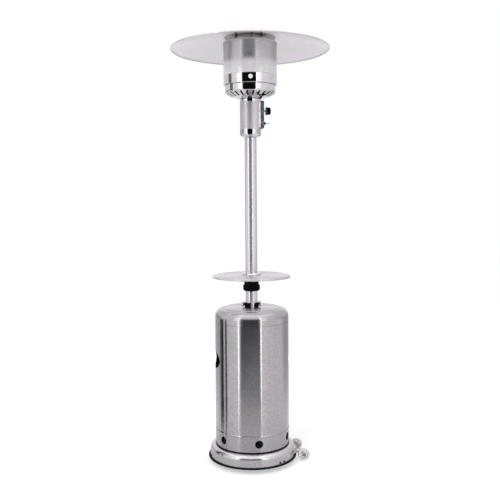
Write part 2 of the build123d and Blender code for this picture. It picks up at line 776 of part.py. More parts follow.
def wheel_bracket_bolts():
    lean = WHEEL_BOLT_HEAD_R * WHEEL_BOLT_Y / SKIRT_HEAD_R
    head_x = WHEEL_BRACKET_T + lean + HOLE_GAP
    bolt = rod_x(WHEEL_BOLT_R, -WHEEL_BOLT_TAIL, head_x)
    bolt += rod_x(WHEEL_BOLT_HEAD_R, head_x, head_x + WHEEL_BOLT_HEAD_H)
    return group(place * bolt for place in wheel_bolt_places())


def wheel_axle():
    end = wheel_inner_y() + WHEEL_W + WHEEL_SIDE_GAP + AXLE_CAP_T - AXLE_CAP_FACE
    return rod_y(AXLE_R, -end, end, AXLE_X, AXLE_Z)


def axle_caps():
    low = wheel_inner_y() + WHEEL_W + WHEEL_SIDE_GAP
    cap = rod_z(AXLE_CAP_R, low, low + AXLE_CAP_T)
    cap -= rod_z(AXLE_R + SEAT_GAP, 0, low + AXLE_CAP_T - AXLE_CAP_FACE)
    cap = fillet(cap.edges().group_by(Axis.Z)[-1], AXLE_CAP_FACE)
    return group(
        Pos(AXLE_X, 0, AXLE_Z) * Rotation(side * -90, 0, 0) * cap for side in (-1, 1)
    )


def wheel(side):
    """Wheel with a rim, a hub and a thin web with round windows."""
    low = wheel_inner_y()
    web_low = low + (WHEEL_W - WHEEL_WEB_T) / 2
    web_high = web_low + WHEEL_WEB_T
    high = low + WHEEL_W
    rim_r = WHEEL_R - WHEEL_RIM_T
    bore = AXLE_R + RUN_GAP
    points = [
        (bore, low),
        (WHEEL_HUB_R, low),
        (WHEEL_HUB_R, web_low),
        (rim_r, web_low),
        (rim_r, low),
        (WHEEL_R, low),
        (WHEEL_R, high),
        (rim_r, high),
        (rim_r, web_high),
        (WHEEL_HUB_R, web_high),
        (WHEEL_HUB_R, high),
        (bore, high),
    ]
    radii = [WHEEL_EDGE if r == WHEEL_R else 0 for r, z in points]
    turned_wheel = revolve(outline(points, radii), Axis.Z)
    window_at = (WHEEL_HUB_R + rim_r) / 2
    for azimuth in even(WHEEL_SPOKES):
        turned_wheel -= at_azimuth(azimuth) * rod_z(WHEEL_WINDOW_R, low, high, window_at)
    return Pos(AXLE_X, 0, AXLE_Z) * Rotation(side * -90, 0, 0) * turned_wheel


# Tank housing
def housing_shell():
    edge_z = HOUSING_LOW_Z + HOUSING_TRIM_FLOOR
    line = [
        (HOUSING_R, edge_z),
        (HOUSING_R, HOUSING_BEAD_Z - HOUSING_BEAD_H),
        (HOUSING_R + HOUSING_BEAD_OUT, HOUSING_BEAD_Z),
        (HOUSING_R, HOUSING_BEAD_Z + HOUSING_BEAD_H),
        (HOUSING_R, HOUSING_SEAM_Z),
    ]
    bend = HOUSING_BEAD_H
    shell = spun_sheet(line, [bend, HOUSING_BEAD_OUT, bend], HOUSING_WALL)
    for azimuth in even(VENT_COUNT):
        shell -= at_azimuth(azimuth, z=VENT_Z) * rod_x(VENT_R, 0, 2 * HOUSING_R)
    hand_hole = Plane.YZ * Ellipse(HAND_HOLE_HALF_W, HAND_HOLE_HALF_H)
    shell -= Pos(0, 0, HAND_HOLE_Z) * extrude(hand_hole, 2 * HOUSING_R, both=True)
    return shell


def housing_top():
    sleeve_r = HOUSING_R - HOUSING_WALL - SEAT_GAP
    line = [
        (sleeve_r, HOUSING_SEAM_Z - HOUSING_SLEEVE),
        (sleeve_r, HOUSING_SEAM_Z - SEAT_GAP),
        (HOUSING_R, HOUSING_SEAM_Z + HOUSING_WALL),
        (HOUSING_R, HOUSING_TOP_Z),
        (HOUSING_STEP_R + HOUSING_STEP_RUN, HOUSING_TOP_Z),
        (HOUSING_STEP_R, HOUSING_ROOF_Z),
        (POST_BORE_R, HOUSING_ROOF_Z),
    ]
    return spun_sheet(line, [0, 0, HOUSING_SHOULDER, 0, 0], HOUSING_WALL)


def housing_edge_trim():
    slot_out = HOUSING_R + SEAT_GAP
    slot_in = HOUSING_R - HOUSING_WALL - SEAT_GAP
    outer = slot_out + HOUSING_TRIM_WALL
    inner = slot_in - HOUSING_TRIM_WALL
    floor_z = HOUSING_LOW_Z + HOUSING_TRIM_FLOOR
    top_z = HOUSING_LOW_Z + HOUSING_TRIM_H
    return turned(
        (inner, HOUSING_LOW_Z),
        (outer, HOUSING_LOW_Z),
        (outer, top_z),
        (slot_out, top_z),
        (slot_out, floor_z),
        (slot_in, floor_z),
        (slot_in, top_z),
        (inner, top_z),
    )


def housing_collar():
    """Two half collars on the housing's roof, one on each side of the post."""
    points = [
        (POST_BORE_R, HOUSING_ROOF_Z),
        (COLLAR_R, HOUSING_ROOF_Z),
        (COLLAR_R, COLLAR_TOP_Z),
        (POST_BORE_R, COLLAR_TOP_Z),
    ]
    half = revolve(outline(points, [0, 0, COLLAR_EDGE, 0]), Axis.Z)
    half &= block(
        (0, -COLLAR_R, HOUSING_ROOF_Z),
        (2 * COLLAR_R, COLLAR_R, COLLAR_TOP_Z),
    )
    half -= block(
        (0, -2 * COLLAR_R, HOUSING_ROOF_Z),
        (COLLAR_SPLIT_HALF, 2 * COLLAR_R, COLLAR_TOP_Z),
    )
    boss_x = (POST_BORE_R + COLLAR_R) / 2
    half += rod_x(COLLAR_BOSS_R, boss_x, COLLAR_R + COLLAR_BOSS_OUT, z=WING_SCREW_Z)
    half -= rod_x(WING_SCREW_R + RUN_GAP, 0, 2 * COLLAR_R, z=WING_SCREW_Z)
    return group(Rotation(0, 0, turn) * half for turn in (0, 180))


def collar_screw(turn):
    """Wing screw that locks the housing on the post."""
    hub_x = COLLAR_R + COLLAR_BOSS_OUT + SLIDE_GAP
    tip_x = POST_R + WING_SCREW_TIP_GAP
    wing_x = hub_x + WING_HUB_L / 2
    lobe_at = WING_SPAN_R - WING_LOBE_R
    screw = rod_x(WING_SCREW_R, tip_x, hub_x + WING_HUB_L)
    screw += rod_x(WING_HUB_R, hub_x, hub_x + WING_HUB_L)
    for side in (-1, 1):
        lobe = rod_y(WING_LOBE_R, -WING_T / 2, WING_T / 2, wing_x + WING_L - WING_LOBE_R, side * lobe_at)
        low, high = sorted((0, side * WING_SPAN_R))
        web = block((wing_x, -WING_T / 2, low), (wing_x + WING_L - WING_LOBE_R, WING_T / 2, high))
        screw += lobe + web
    return Rotation(0, 0, turn) * Pos(0, 0, WING_SCREW_Z) * screw


# Table
def table_top():
    line = [
        (TABLE_R, TABLE_TOP_Z - TABLE_LIP),
        (TABLE_R, TABLE_TOP_Z),
        (CLAMP_R + SEAT_GAP, TABLE_TOP_Z),
    ]
    return spun_sheet(line, [TABLE_EDGE], TABLE_WALL)


def table_hub():
    top = TABLE_TOP_Z + HUB_H
    points = [
        (CLAMP_R + SEAT_GAP, TABLE_TOP_Z),
        (HUB_R, TABLE_TOP_Z),
        (HUB_R, TABLE_TOP_Z + HUB_LEDGE),
        (HUB_R - HUB_EDGE, top),
        (POST_BORE_R, top),
        (POST_BORE_R, top - HUB_LEDGE),
        (CLAMP_R + SEAT_GAP, top - HUB_LEDGE),
    ]
    return revolve(outline(points, [0, 0, 1, HUB_EDGE / 2, 0, 0, 0]), Axis.Z)


def table_clamp():
    under = TABLE_TOP_Z - TABLE_WALL
    spigot_top = TABLE_TOP_Z + HUB_H - HUB_LEDGE - SEAT_GAP
    return turned(
        (POST_BORE_R, CLAMP_BOTTOM_Z),
        (CLAMP_R, CLAMP_BOTTOM_Z),
        (CLAMP_R, under - CLAMP_FLANGE_T),
        (CLAMP_FLANGE_R, under - CLAMP_FLANGE_T),
        (CLAMP_FLANGE_R, under),
        (CLAMP_R, under),
        (CLAMP_R, spigot_top),
        (POST_BORE_R, spigot_top),
    )


def table_clamp_nut():
    bore = CLAMP_R + NUT_GAP
    tip_bore = POST_R + NUT_TIP_BORE_GAP
    cone_top = CLAMP_BOTTOM_Z - NUT_GAP
    points = [
        (tip_bore, NUT_BOTTOM_Z),
        (NUT_R, NUT_BOTTOM_Z),
        (NUT_R, NUT_TOP_Z),
        (bore, NUT_TOP_Z),
        (bore, cone_top),
    ]
    nut = revolve(outline(points, [0, NUT_ROUND, NUT_EDGE, 0, 0]), Axis.Z)
    at_r = NUT_R + NUT_SCALLOP_R - NUT_SCALLOP_DEPTH
    for azimuth in even(NUT_SCALLOPS):
        nut -= at_azimuth(azimuth) * rod_z(NUT_SCALLOP_R, NUT_BOTTOM_Z, NUT_TOP_Z, at_r)
    return nut


# Control housing
def pillar_places():
    """(y, z) of the pillars that take the panel screws."""
    y = PANEL_HALF_W - PILLAR_INSET_Y
    return [
        (side * y, z)
        for side in (-1, 1)
        for z in (PANEL_LOW_Z + PILLAR_INSET_Z, PANEL_TOP_Z - PILLAR_INSET_Z)
    ]


def control_bottom_cap():
    line = [
        (POST_R + SEAT_GAP + CONTROL_BAND_WALL, CONTROL_NECK_Z),
        (CONTROL_R, CONTROL_CORNER_Z),
        (CONTROL_R, CONTROL_CAP_TOP_Z),
    ]
    return spun_sheet(line, [CONTROL_CORNER], CONTROL_BAND_WALL)


def control_body():
    low = CONTROL_CAP_TOP_Z - CONTROL_SLEEVE
    body = ring(CONTROL_BODY_R, CONTROL_BODY_R - CONTROL_WALL, low, CONTROL_LID_Z)
    body -= block(
        (0, -WINDOW_HALF_W, PANEL_LOW_Z + WINDOW_EDGE),
        (2 * CONTROL_R, WINDOW_HALF_W, PANEL_TOP_Z - WINDOW_EDGE),
    )
    for y, z in pillar_places():
        body -= rod_x(PANEL_SCREW_R + HOLE_GAP, 0, 2 * CONTROL_R, y, z)
    return body


def control_top_band():
    line = [
        (CONTROL_R, CONTROL_BAND_LOW_Z),
        (CONTROL_R, CONTROL_TOP_Z),
        (CONTROL_LID_BORE_R, CONTROL_TOP_Z),
    ]
    band = spun_sheet(line, [0], CONTROL_BAND_WALL)
    return drilled_for_head(band)


def panel_box():
    """Rounded box that stands on the control housing, open towards it."""
    shape = extrude(
        Plane.YZ * RectangleRounded(2 * PANEL_HALF_W, PANEL_TOP_Z - PANEL_LOW_Z, PANEL_CORNER),
        PANEL_DEPTH,
    )
    box = fillet(shape.edges().group_by(Axis.X)[-1], PANEL_FRONT_EDGE)
    inner = RectangleRounded(
        2 * (PANEL_HALF_W - PANEL_WALL),
        PANEL_TOP_Z - PANEL_LOW_Z - 2 * PANEL_WALL,
        PANEL_CORNER - PANEL_WALL,
    )
    box -= extrude(Plane.YZ * inner, PANEL_DEPTH - PANEL_WALL)
    box = Pos(PANEL_X - PANEL_DEPTH, 0, (PANEL_LOW_Z + PANEL_TOP_Z) / 2) * box
    box -= ring(CONTROL_BODY_R + SEAT_GAP, 0, PANEL_LOW_Z - PANEL_WALL, PANEL_TOP_Z + PANEL_WALL)
    return box - ring(CONTROL_R + SEAT_GAP, 0, CONTROL_BAND_LOW_Z - SEAT_GAP, CONTROL_TOP_Z)


def panel_space(low_x, high_x):
    """Block over the panel's whole face between two depths."""
    return block((low_x, -2 * PANEL_HALF_W, 0), (high_x, 2 * PANEL_HALF_W, 2 * PANEL_TOP_Z))


def panel_frame():
    """Stainless side flanges between the control housing and the dark cover."""
    return group([panel_box() & panel_space(0, PANEL_FRAME_X)])


def control_panel():
    panel = panel_box() & panel_space(PANEL_FRAME_X, 2 * PANEL_X)
    body = ring(CONTROL_BODY_R + SEAT_GAP, 0, PANEL_LOW_Z, PANEL_TOP_Z)
    for y, z in pillar_places():
        panel += rod_x(PILLAR_R, PANEL_X - PANEL_DEPTH, PANEL_BACK_X, y, z) - body
        panel -= rod_x(PANEL_SCREW_R + HOLE_GAP, 0, 2 * PANEL_X, y, z)
    panel -= rod_x(PLUG_NECK_R + PANEL_HOLE_GAP, 0, 2 * PANEL_X, z=VALVE_Z)
    panel -= rod_x(IGNITER_NECK_R + HOLE_GAP, 0, 2 * PANEL_X, z=IGNITER_Z)
    for side in (-1, 1):
        panel -= rod_x(PANEL_SCREW_R + HOLE_GAP, 0, 2 * PANEL_X, side * VALVE_SCREW_Y, VALVE_Z)
    return panel


def panel_screw(tail_x):
    """Pan-head screw along X with its head on the panel's face."""
    screw = rod_x(PANEL_SCREW_R, tail_x, PANEL_X)
    head = rod_x(PANEL_SCREW_HEAD_R, PANEL_X, PANEL_X + PANEL_SCREW_HEAD_H)
    return screw + fillet(head.edges().group_by(Axis.X)[-1], PANEL_SCREW_HEAD_H / 2)


def panel_screws():
    y = PANEL_HALF_W - PILLAR_INSET_Y
    tail_x = sqrt(CONTROL_BODY_R ** 2 - y ** 2) - PANEL_SCREW_TAIL
    screws = [Pos(0, y, z) * panel_screw(tail_x) for y, z in pillar_places()]
    for side in (-1, 1):
        place = Pos(0, side * VALVE_SCREW_Y, VALVE_Z)
        screws.append(place * panel_screw(PANEL_BACK_X - VALVE_SCREW_TAIL))
    return group(screws)


# Gas valve
def gas_valve_body():
    body = block(
        (VALVE_BACK_X, -VALVE_HALF_W, VALVE_Z - VALVE_HALF_H),
        (VALVE_BLOCK_X, VALVE_HALF_W, VALVE_TOP_Z),
    )
    body = chamfer(body.edges().filter_by(Axis.X), 2 * PANEL_WALL)
    body += rod_x(VALVE_SNOUT_R, VALVE_BLOCK_X, VALVE_FLANGE_X, z=VALVE_Z)
    body += block(
        (VALVE_FLANGE_X, -VALVE_HALF_W, VALVE_Z - VALVE_FLANGE_HALF_H),
        (PANEL_BACK_X, VALVE_HALF_W, VALVE_Z + VALVE_FLANGE_HALF_H),
    )
    body -= rod_x(PLUG_R + RUN_GAP, PLUG_BACK_X - PLUG_END_PLAY, VALVE_FLANGE_X, z=VALVE_Z)
    body -= rod_x(PLUG_NECK_R + RUN_GAP, VALVE_FLANGE_X, PANEL_X, z=VALVE_Z)
    for side in (-1, 1):
        body -= rod_x(
            PANEL_SCREW_R + HOLE_GAP,
            PANEL_BACK_X - VALVE_SCREW_TAIL - HOLE_GAP,
            PANEL_X,
            side * VALVE_SCREW_Y,
            VALVE_Z,
        )
    return body


def valve_plug():
    plug = rod_x(PLUG_R, PLUG_BACK_X, VALVE_FLANGE_X - PLUG_END_PLAY, z=VALVE_Z)
    plug += rod_x(PLUG_NECK_R, PLUG_BACK_X, PANEL_X + PLUG_NECK_OUT, z=VALVE_Z)
    pocket_x = SPINDLE_BACK_X - SPINDLE_POCKET
    return plug - rod_x(SPINDLE_R + RUN_GAP, pocket_x, 2 * PANEL_X, z=VALVE_Z)


def knob_spindle():
    end_x = PANEL_X + KNOB_OUT + KNOB_L - KNOB_FACE
    return rod_x(SPINDLE_R, SPINDLE_BACK_X, end_x, z=VALVE_Z)


def control_knob():
    grip_top = KNOB_L
    points = [
        (0, 0),
        (KNOB_R, 0),
        (KNOB_R, KNOB_SKIRT_T),
        (KNOB_GRIP_R, KNOB_SKIRT_T),
        (KNOB_GRIP_R - KNOB_DRAFT, grip_top),
        (0, grip_top),
    ]
    knob = revolve(outline(points, [0, 1, KNOB_EDGE, 1, KNOB_EDGE, 0]), Axis.Z)
    at_r = KNOB_GRIP_R + KNOB_FLUTE_R - KNOB_FLUTE_DEPTH
    for azimuth in even(KNOB_FLUTES, 180 / KNOB_FLUTES):
        knob -= at_azimuth(azimuth) * rod_z(KNOB_FLUTE_R, KNOB_SKIRT_T, grip_top, at_r)
    knob -= rod_z(SPINDLE_R + RUN_GAP, 0, grip_top - KNOB_FACE)
    mark_y = POINTER_L / 2 + SPINDLE_R
    knob -= block((-POINTER_W / 2, mark_y - POINTER_L / 2, grip_top - POINTER_T),
                  (POINTER_W / 2, mark_y + POINTER_L / 2, grip_top))
    return Plane((PANEL_X + KNOB_OUT, 0, VALVE_Z), x_dir=(0, 1, 0), z_dir=(1, 0, 0)) * knob


def valve_inlet_fitting():
    top = VALVE_Z - VALVE_HALF_H
    fitting = Pos(0, 0, top) * extrude(RegularPolygon(INLET_HEX_R, 6), -INLET_HEX_L)
    fitting += rod_z(INLET_R, top - INLET_L, top - INLET_HEX_L)
    return fitting - rod_z(INLET_BORE_R, top - INLET_L, top)


# Igniter and tilt switch
def igniter_body():
    neck_x = PANEL_X + IGNITER_NECK_OUT
    body = rod_x(IGNITER_R, IGNITER_BACK_X, PANEL_BACK_X, z=IGNITER_Z)
    body += rod_x(IGNITER_NECK_R, PANEL_BACK_X, neck_x, z=IGNITER_Z)
    return body - rod_x(BUTTON_R + RUN_GAP, BUTTON_BACK_X - BUTTON_POCKET, neck_x, z=IGNITER_Z)


def igniter_nut():
    """Conical bezel nut that holds the igniter in the panel."""
    bore = IGNITER_NECK_R + SEAT_GAP
    nut = turned(
        (bore, 0),
        (IGNITER_NUT_R, 0),
        (IGNITER_NUT_TIP_R, IGNITER_NUT_T),
        (bore, IGNITER_NUT_T),
    )
    return Plane((PANEL_X, 0, IGNITER_Z), x_dir=(0, 1, 0), z_dir=(1, 0, 0)) * nut


def igniter_button():
    button = rod_x(BUTTON_R, BUTTON_BACK_X, PANEL_X + BUTTON_OUT, z=IGNITER_Z)
    return fillet(button.edges().group_by(Axis.X)[-1], BUTTON_EDGE)


def tilt_switch():
    inside = CONTROL_BODY_R - CONTROL_WALL - SEAT_GAP
    clip = block(
        (-CONTROL_R, -TILT_CLIP_HALF_W, TILT_Z - TILT_CLIP_H / 2),
        (TILT_X, TILT_CLIP_HALF_W, TILT_Z + TILT_CLIP_H / 2),
    )
    clip &= ring(inside, 0, TILT_Z - TILT_H, TILT_Z + TILT_H)
    return clip + rod_z(TILT_R, TILT_Z - TILT_H / 2, TILT_Z + TILT_H / 2, TILT_X)


# Burner
def drilled_for_head(sheet):
    """Sheet with the holes of the head screws and of the three pilot lines."""
    low, high = CONTROL_LID_Z - BOWL_WALL, BOWL_FLOOR_Z + MIXER_WALL
    for azimuth in even(HEAD_SCREWS):
        sheet -= at_azimuth(azimuth) * rod_z(HEAD_SCREW_R + HOLE_GAP, low, high, HEAD_SCREW_AT_R)
    for side in (-1, 0, 1):
        place = at_azimuth(PILOT_AZ) * Pos(PILOT_DROP_R, side * PILOT_PITCH, 0)
        sheet -= place * rod_z(PILOT_TUBE_R + LEAD_HOLE_GAP, low, PILOT_DROP_Z)
    return sheet


def burner_bowl():
    line = [
        (BOWL_BORE_R, CONTROL_TOP_Z),
        (BOWL_FLAT_R, CONTROL_TOP_Z),
        (BOWL_MID_R, CONTROL_TOP_Z + BOWL_MID_RISE),
        (BOWL_R, BOWL_CORNER_Z),
        (BOWL_R, BOWL_TOP_Z),
        (BOWL_R - BOWL_LIP, BOWL_TOP_Z),
    ]
    bends = [BOWL_FLAT_BEND, BOWL_MID_BEND, BOWL_CORNER, BOWL_LIP_BEND]
    bowl = spun_sheet(line, bends, BOWL_WALL)
    slot = extrude(SlotOverall(SLOT_OUT_R - SLOT_IN_R, SLOT_W), BOWL_CORNER_Z - CONTROL_TOP_Z + BOWL_CORNER)
    slot = Pos((SLOT_IN_R + SLOT_OUT_R) / 2, 0, CONTROL_TOP_Z) * slot
    for azimuth in even(SLOT_COUNT, SLOT_FIRST_AZ):
        bowl -= at_azimuth(azimuth) * slot
    for azimuth in even(BAND_SCREWS, BAND_SCREW_AZ):
        bowl -= band_screw_hole(azimuth)
    return drilled_for_head(bowl)


def band_screw_hole(azimuth):
    """Hole for a screw that joins the emitter band to the bowl's lip."""
    low, high = BOWL_TOP_Z - 2 * BOWL_WALL, BAND_FLOOR_Z + EMITTER_WALL
    return at_azimuth(azimuth) * rod_z(HEAD_SCREW_R + HOLE_GAP, low, high, BAND_SCREW_AT_R)


def gas_riser():
    return ring(RISER_R, RISER_BORE_R, VALVE_TOP_Z, RISER_TOP_Z)


def main_orifice():
    nozzle = extrude(RegularPolygon(ORIFICE_R, 6), ORIFICE_H)
    nozzle -= Cylinder(ORIFICE_BORE_R, 3 * ORIFICE_H)
    return Pos(0, 0, RISER_TOP_Z) * nozzle


def burner_head():
    flange_top = BOWL_FLOOR_Z + MIXER_WALL
    bore = MIXER_R - MIXER_WALL
    roof = MIXER_TOP_Z + BURNER_H
    head = turned(
        (bore, BOWL_FLOOR_Z),
        (MIXER_FLANGE_R, BOWL_FLOOR_Z),
        (MIXER_FLANGE_R, flange_top),
        (MIXER_R, flange_top),
        (MIXER_R, MIXER_TOP_Z),
        (BURNER_R, MIXER_TOP_Z),
        (BURNER_R, roof),
        (0, roof),
        (0, roof - BURNER_WALL),
        (BURNER_R - BURNER_WALL, roof - BURNER_WALL),
        (BURNER_R - BURNER_WALL, MIXER_TOP_Z + BURNER_WALL),
        (bore, MIXER_TOP_Z + BURNER_WALL),
    )
    for azimuth in even(AIR_HOLES, 180 / AIR_HOLES):
        head -= at_azimuth(azimuth, z=flange_top + AIR_HOLE_UP) * rod_x(AIR_HOLE_R, 0, BURNER_R)
    for azimuth in even(BURNER_PORTS):
        head -= at_azimuth(azimuth, z=MIXER_TOP_Z + BURNER_H / 2) * rod_x(
            BURNER_PORT_R, BURNER_R / 2, 2 * BURNER_R)
    return drilled_for_head(head)


def head_screws():
    screw = rod_z(HEAD_SCREW_R, -HEAD_SCREW_LEN, 0)
    screw += rod_z(HEAD_SCREW_HEAD_R, 0, HEAD_SCREW_HEAD_H)
    screws = []
    for azimuth in even(HEAD_SCREWS):
        screws.append(at_azimuth(azimuth, HEAD_SCREW_AT_R, BOWL_FLOOR_Z + MIXER_WALL) * screw)
    for azimuth in even(BAND_SCREWS, BAND_SCREW_AZ):
        screws.append(at_azimuth(azimuth, BAND_SCREW_AT_R, BAND_FLOOR_Z) * screw)
    return group(screws)


# Pilot group
def pilot_plane(side):
    """Upright plane through a pilot line: local X outwards, local Y up."""
    place = at_azimuth(PILOT_AZ) * Pos(0, side * PILOT_PITCH, 0)
    return Plane(place * Location(Plane.XZ))


def pilot_line(side, radius, top_z, end_r, end_z):
    """Bent tube or lead from the pilot down into the control housing."""
    path = FilletPolyline(
        (PILOT_AT_R, top_z),
        (PILOT_AT_R, PILOT_TURN_Z),
        (PILOT_DROP_R, PILOT_DROP_Z),
        (PILOT_DROP_R, end_z),
        (end_r, end_z),
        radius=PILOT_BEND,
    )
    path = pilot_plane(side) * path
    return sweep(Plane(path @ 0, z_dir=path % 0) * Circle(radius), path)


def pilot_tab_z():
    """Height of the pilot bracket's top face."""
    return BAND_FLOOR_Z + PILOT_TAB_T


def pilot_burner():
    tab = block(
        (PILOT_AT_R - PILOT_TAB_IN, -PILOT_TAB_HALF_W, BAND_FLOOR_Z),
        (PILOT_TAB_OUT_R, PILOT_TAB_HALF_W, pilot_tab_z()),
    )
    hood = rod_z(PILOT_R, pilot_tab_z(), pilot_tab_z() + PILOT_H, PILOT_AT_R)
    hood -= block(
        (PILOT_AT_R, -PILOT_R, pilot_tab_z() + PILOT_H / 2),
        (PILOT_TAB_OUT_R, PILOT_R, pilot_tab_z() + 2 * PILOT_H / 3),
    )
    bracket = tab + hood
    for side, radius in ((-1, THERMOCOUPLE_R), (1, ELECTRODE_R)):
        hole = rod_z(radius + SEAT_GAP, BAND_FLOOR_Z, pilot_tab_z(), PILOT_AT_R, side * PILOT_PITCH)
        bracket -= hole
    return at_azimuth(PILOT_AZ) * bracket


def valve_side_r(side):
    """Distance along a pilot line's plane at which it meets the valve's front face."""
    lean = radians(PILOT_AZ)
    return (VALVE_HALF_W + side * PILOT_PITCH * sin(lean)) / cos(lean) + LEAD_END_GAP


def pilot_tube():
    return pilot_line(0, PILOT_TUBE_R, BAND_FLOOR_Z, valve_side_r(0), VALVE_Z)


def thermocouple():
    top = pilot_tab_z() + THERMOCOUPLE_TIP
    return pilot_line(-1, THERMOCOUPLE_R, top, valve_side_r(-1), VALVE_Z)


def igniter_electrode():
    top = pilot_tab_z() + ELECTRODE_TIP
    return pilot_line(1, ELECTRODE_R, top, IGNITER_R + 2 * LEAD_END_GAP, IGNITER_Z)


# Emitter
def emitter_band():
    line = [
        (EMITTER_R - BAND_LEDGE, BOWL_TOP_Z),
        (EMITTER_R, BOWL_TOP_Z),
        (EMITTER_R, BAND_TOP_Z),
    ]
    band = spun_sheet(line, [BAND_BEND], EMITTER_WALL)
    band -= at_azimuth(PILOT_AZ, z=LIGHT_HOLE_Z) * rod_x(LIGHT_HOLE_R, 0, 2 * EMITTER_R)
    for azimuth in even(BAND_SCREWS, BAND_SCREW_AZ):
        band -= band_screw_hole(azimuth)
    return band


def light_hole_plug():
    back_x = EMITTER_R - EMITTER_WALL - LIGHT_PLUG_DEPTH
    rim = rod_x(LIGHT_HOLE_R + LIGHT_PLUG_RIM, back_x, EMITTER_R)
    rim &= Cylinder(SCREEN_R, 2 * EMITTER_R)
    face = rod_x(LIGHT_HOLE_R - SEAT_GAP, back_x, EMITTER_R)
    return at_azimuth(PILOT_AZ, z=LIGHT_HOLE_Z) * (rim + face)


def emitter_screen():
    return ring(SCREEN_R, SCREEN_R - SCREEN_WALL, BAND_TOP_Z - SCREEN_LAP, CAP_UNDER_Z - CAP_BEND)


def emitter_top_cap():
    line = [
        (EMITTER_R, EMITTER_TOP_Z - CAP_SKIRT),
        (EMITTER_R, EMITTER_TOP_Z),
        (0, EMITTER_TOP_Z),
    ]
    return drilled_for_studs(spun_sheet(line, [CAP_BEND], EMITTER_WALL))


# Reflector
def stud_places(z=0.0):
    """Locations of the reflector studs."""
    return [at_azimuth(azimuth, STUD_AT_R, z) for azimuth in even(STUD_COUNT)]


def drilled_for_studs(sheet):
    """Sheet with the stud holes through it."""
    for place in stud_places():
        sheet -= place * rod_z(STUD_R + HOLE_GAP, CAP_UNDER_Z - STUD_HEAD_H, STUD_TOP_Z)
    return sheet


def reflector():
    rim_z = REFLECTOR_RIM_Z + RIM_R
    edge = (REFLECTOR_R - RIM_R, rim_z)
    edge_under = (edge[0], rim_z - REFLECTOR_WALL)
    shoulder = (REFLECTOR_FLAT_R, REFLECTOR_TOP_Z)
    shoulder_under = (REFLECTOR_FLAT_R, REFLECTOR_UNDER_Z)
    section = Curve() + [
        Line((0, REFLECTOR_TOP_Z), shoulder),
        SagittaArc(shoulder, edge, REFLECTOR_BULGE),
        Line(edge, edge_under),
        SagittaArc(edge_under, shoulder_under, -REFLECTOR_BULGE),
        Line(shoulder_under, (0, REFLECTOR_UNDER_Z)),
        Line((0, REFLECTOR_UNDER_Z), (0, REFLECTOR_TOP_Z)),
    ]
    dish = revolve(Plane.XZ * make_face(section), Axis.Z)
    dish += revolve(Plane.XZ * Pos(*edge_under) * Circle(RIM_R), Axis.Z)
    return drilled_for_studs(dish)


def reflector_studs():
    stud = rod_z(STUD_R, CAP_UNDER_Z, STUD_TOP_Z)
    stud += rod_z(STUD_HEAD_R, CAP_UNDER_Z - STUD_HEAD_H, CAP_UNDER_Z)
    return group(place * stud for place in stud_places())


def stud_spacers():
    spacer = ring(SPACER_R, STUD_R + SEAT_GAP, EMITTER_TOP_Z, REFLECTOR_UNDER_Z)
    return group(place * spacer for place in stud_places())


def reflector_nuts():
    nut_low = REFLECTOR_TOP_Z + WASHER_T
    nut = rod_z(REFLECTOR_NUT_R, nut_low, nut_low + REFLECTOR_NUT_H)
    for side in (-1, 1):
        wing = Plane.XZ * make_face(
            Polyline(
                (0, nut_low),
                (side * REFLECTOR_NUT_R, nut_low + REFLECTOR_NUT_WING_T),
                (side * REFLECTOR_NUT_WING, nut_low + REFLECTOR_NUT_WING_H),
                (side * REFLECTOR_NUT_R, nut_low + REFLECTOR_NUT_WING_H),
                (0, nut_low + REFLECTOR_NUT_H),
                close=True,
            )
        )
        nut += extrude(wing, REFLECTOR_NUT_WING_T / 2, both=True)
    nut += rod_z(WASHER_R, REFLECTOR_TOP_Z, nut_low)
    nut -= rod_z(STUD_R + SEAT_GAP, REFLECTOR_TOP_Z, STUD_TOP_Z)
    return group(place * nut for place in stud_places())


NODES = {
    "base_pan": base_pan,
    "base_edge_trim": base_edge_trim,
    "base_ballast": base_ballast,
    "base_feet": base_feet,
    "base_brackets": base_brackets,
    "skirt_screws": skirt_screws,
    "leg_bolts": leg_bolts,
    "leg_post_bolts": leg_post_bolts,
    "post": post,
    "wheel_bracket": wheel_bracket,
    "wheel_bracket_bolts": wheel_bracket_bolts,
    "wheel_axle": wheel_axle,
    "axle_caps": axle_caps,
    "wheel_front": lambda: wheel(-1),
    "wheel_rear": lambda: wheel(1),
    "housing_shell": housing_shell,
    "housing_top": housing_top,
    "housing_edge_trim": housing_edge_trim,
    "housing_collar": housing_collar,
    "collar_screw_right": lambda: collar_screw(0),
    "collar_screw_left": lambda: collar_screw(180),
    "table_top": table_top,
    "table_hub": table_hub,
    "table_clamp": table_clamp,
    "table_clamp_nut": table_clamp_nut,
    "control_bottom_cap": control_bottom_cap,
    "control_body": control_body,
    "control_top_band": control_top_band,
    "panel_frame": panel_frame,
    "control_panel": control_panel,
    "panel_screws": panel_screws,
    "gas_valve_body": gas_valve_body,
    "valve_plug": valve_plug,
    "knob_spindle": knob_spindle,
    "control_knob": control_knob,
    "valve_inlet_fitting": valve_inlet_fitting,
    "igniter_body": igniter_body,
    "igniter_nut": igniter_nut,
    "igniter_button": igniter_button,
    "tilt_switch": tilt_switch,
    "gas_riser": gas_riser,
    "main_orifice": main_orifice,
    "burner_bowl": burner_bowl,
    "burner_head": burner_head,
    "head_screws": head_screws,
    "pilot_burner": pilot_burner,
    "pilot_tube": pilot_tube,
    "thermocouple": thermocouple,
    "igniter_electrode": igniter_electrode,
    "emitter_band": emitter_band,
    "light_hole_plug": light_hole_plug,
    "emitter_screen": emitter_screen,
    "emitter_top_cap": emitter_top_cap,
    "reflector": reflector,
    "reflector_studs": reflector_studs,
    "stud_spacers": stud_spacers,
    "reflector_nuts": reflector_nuts,
}
for number, leg_azimuth in enumerate(even(LEG_COUNT, LEG_FIRST_AZ), start=1):
    NODES[f"support_leg_{number}"] = lambda azimuth=leg_azimuth: support_leg(azimuth)

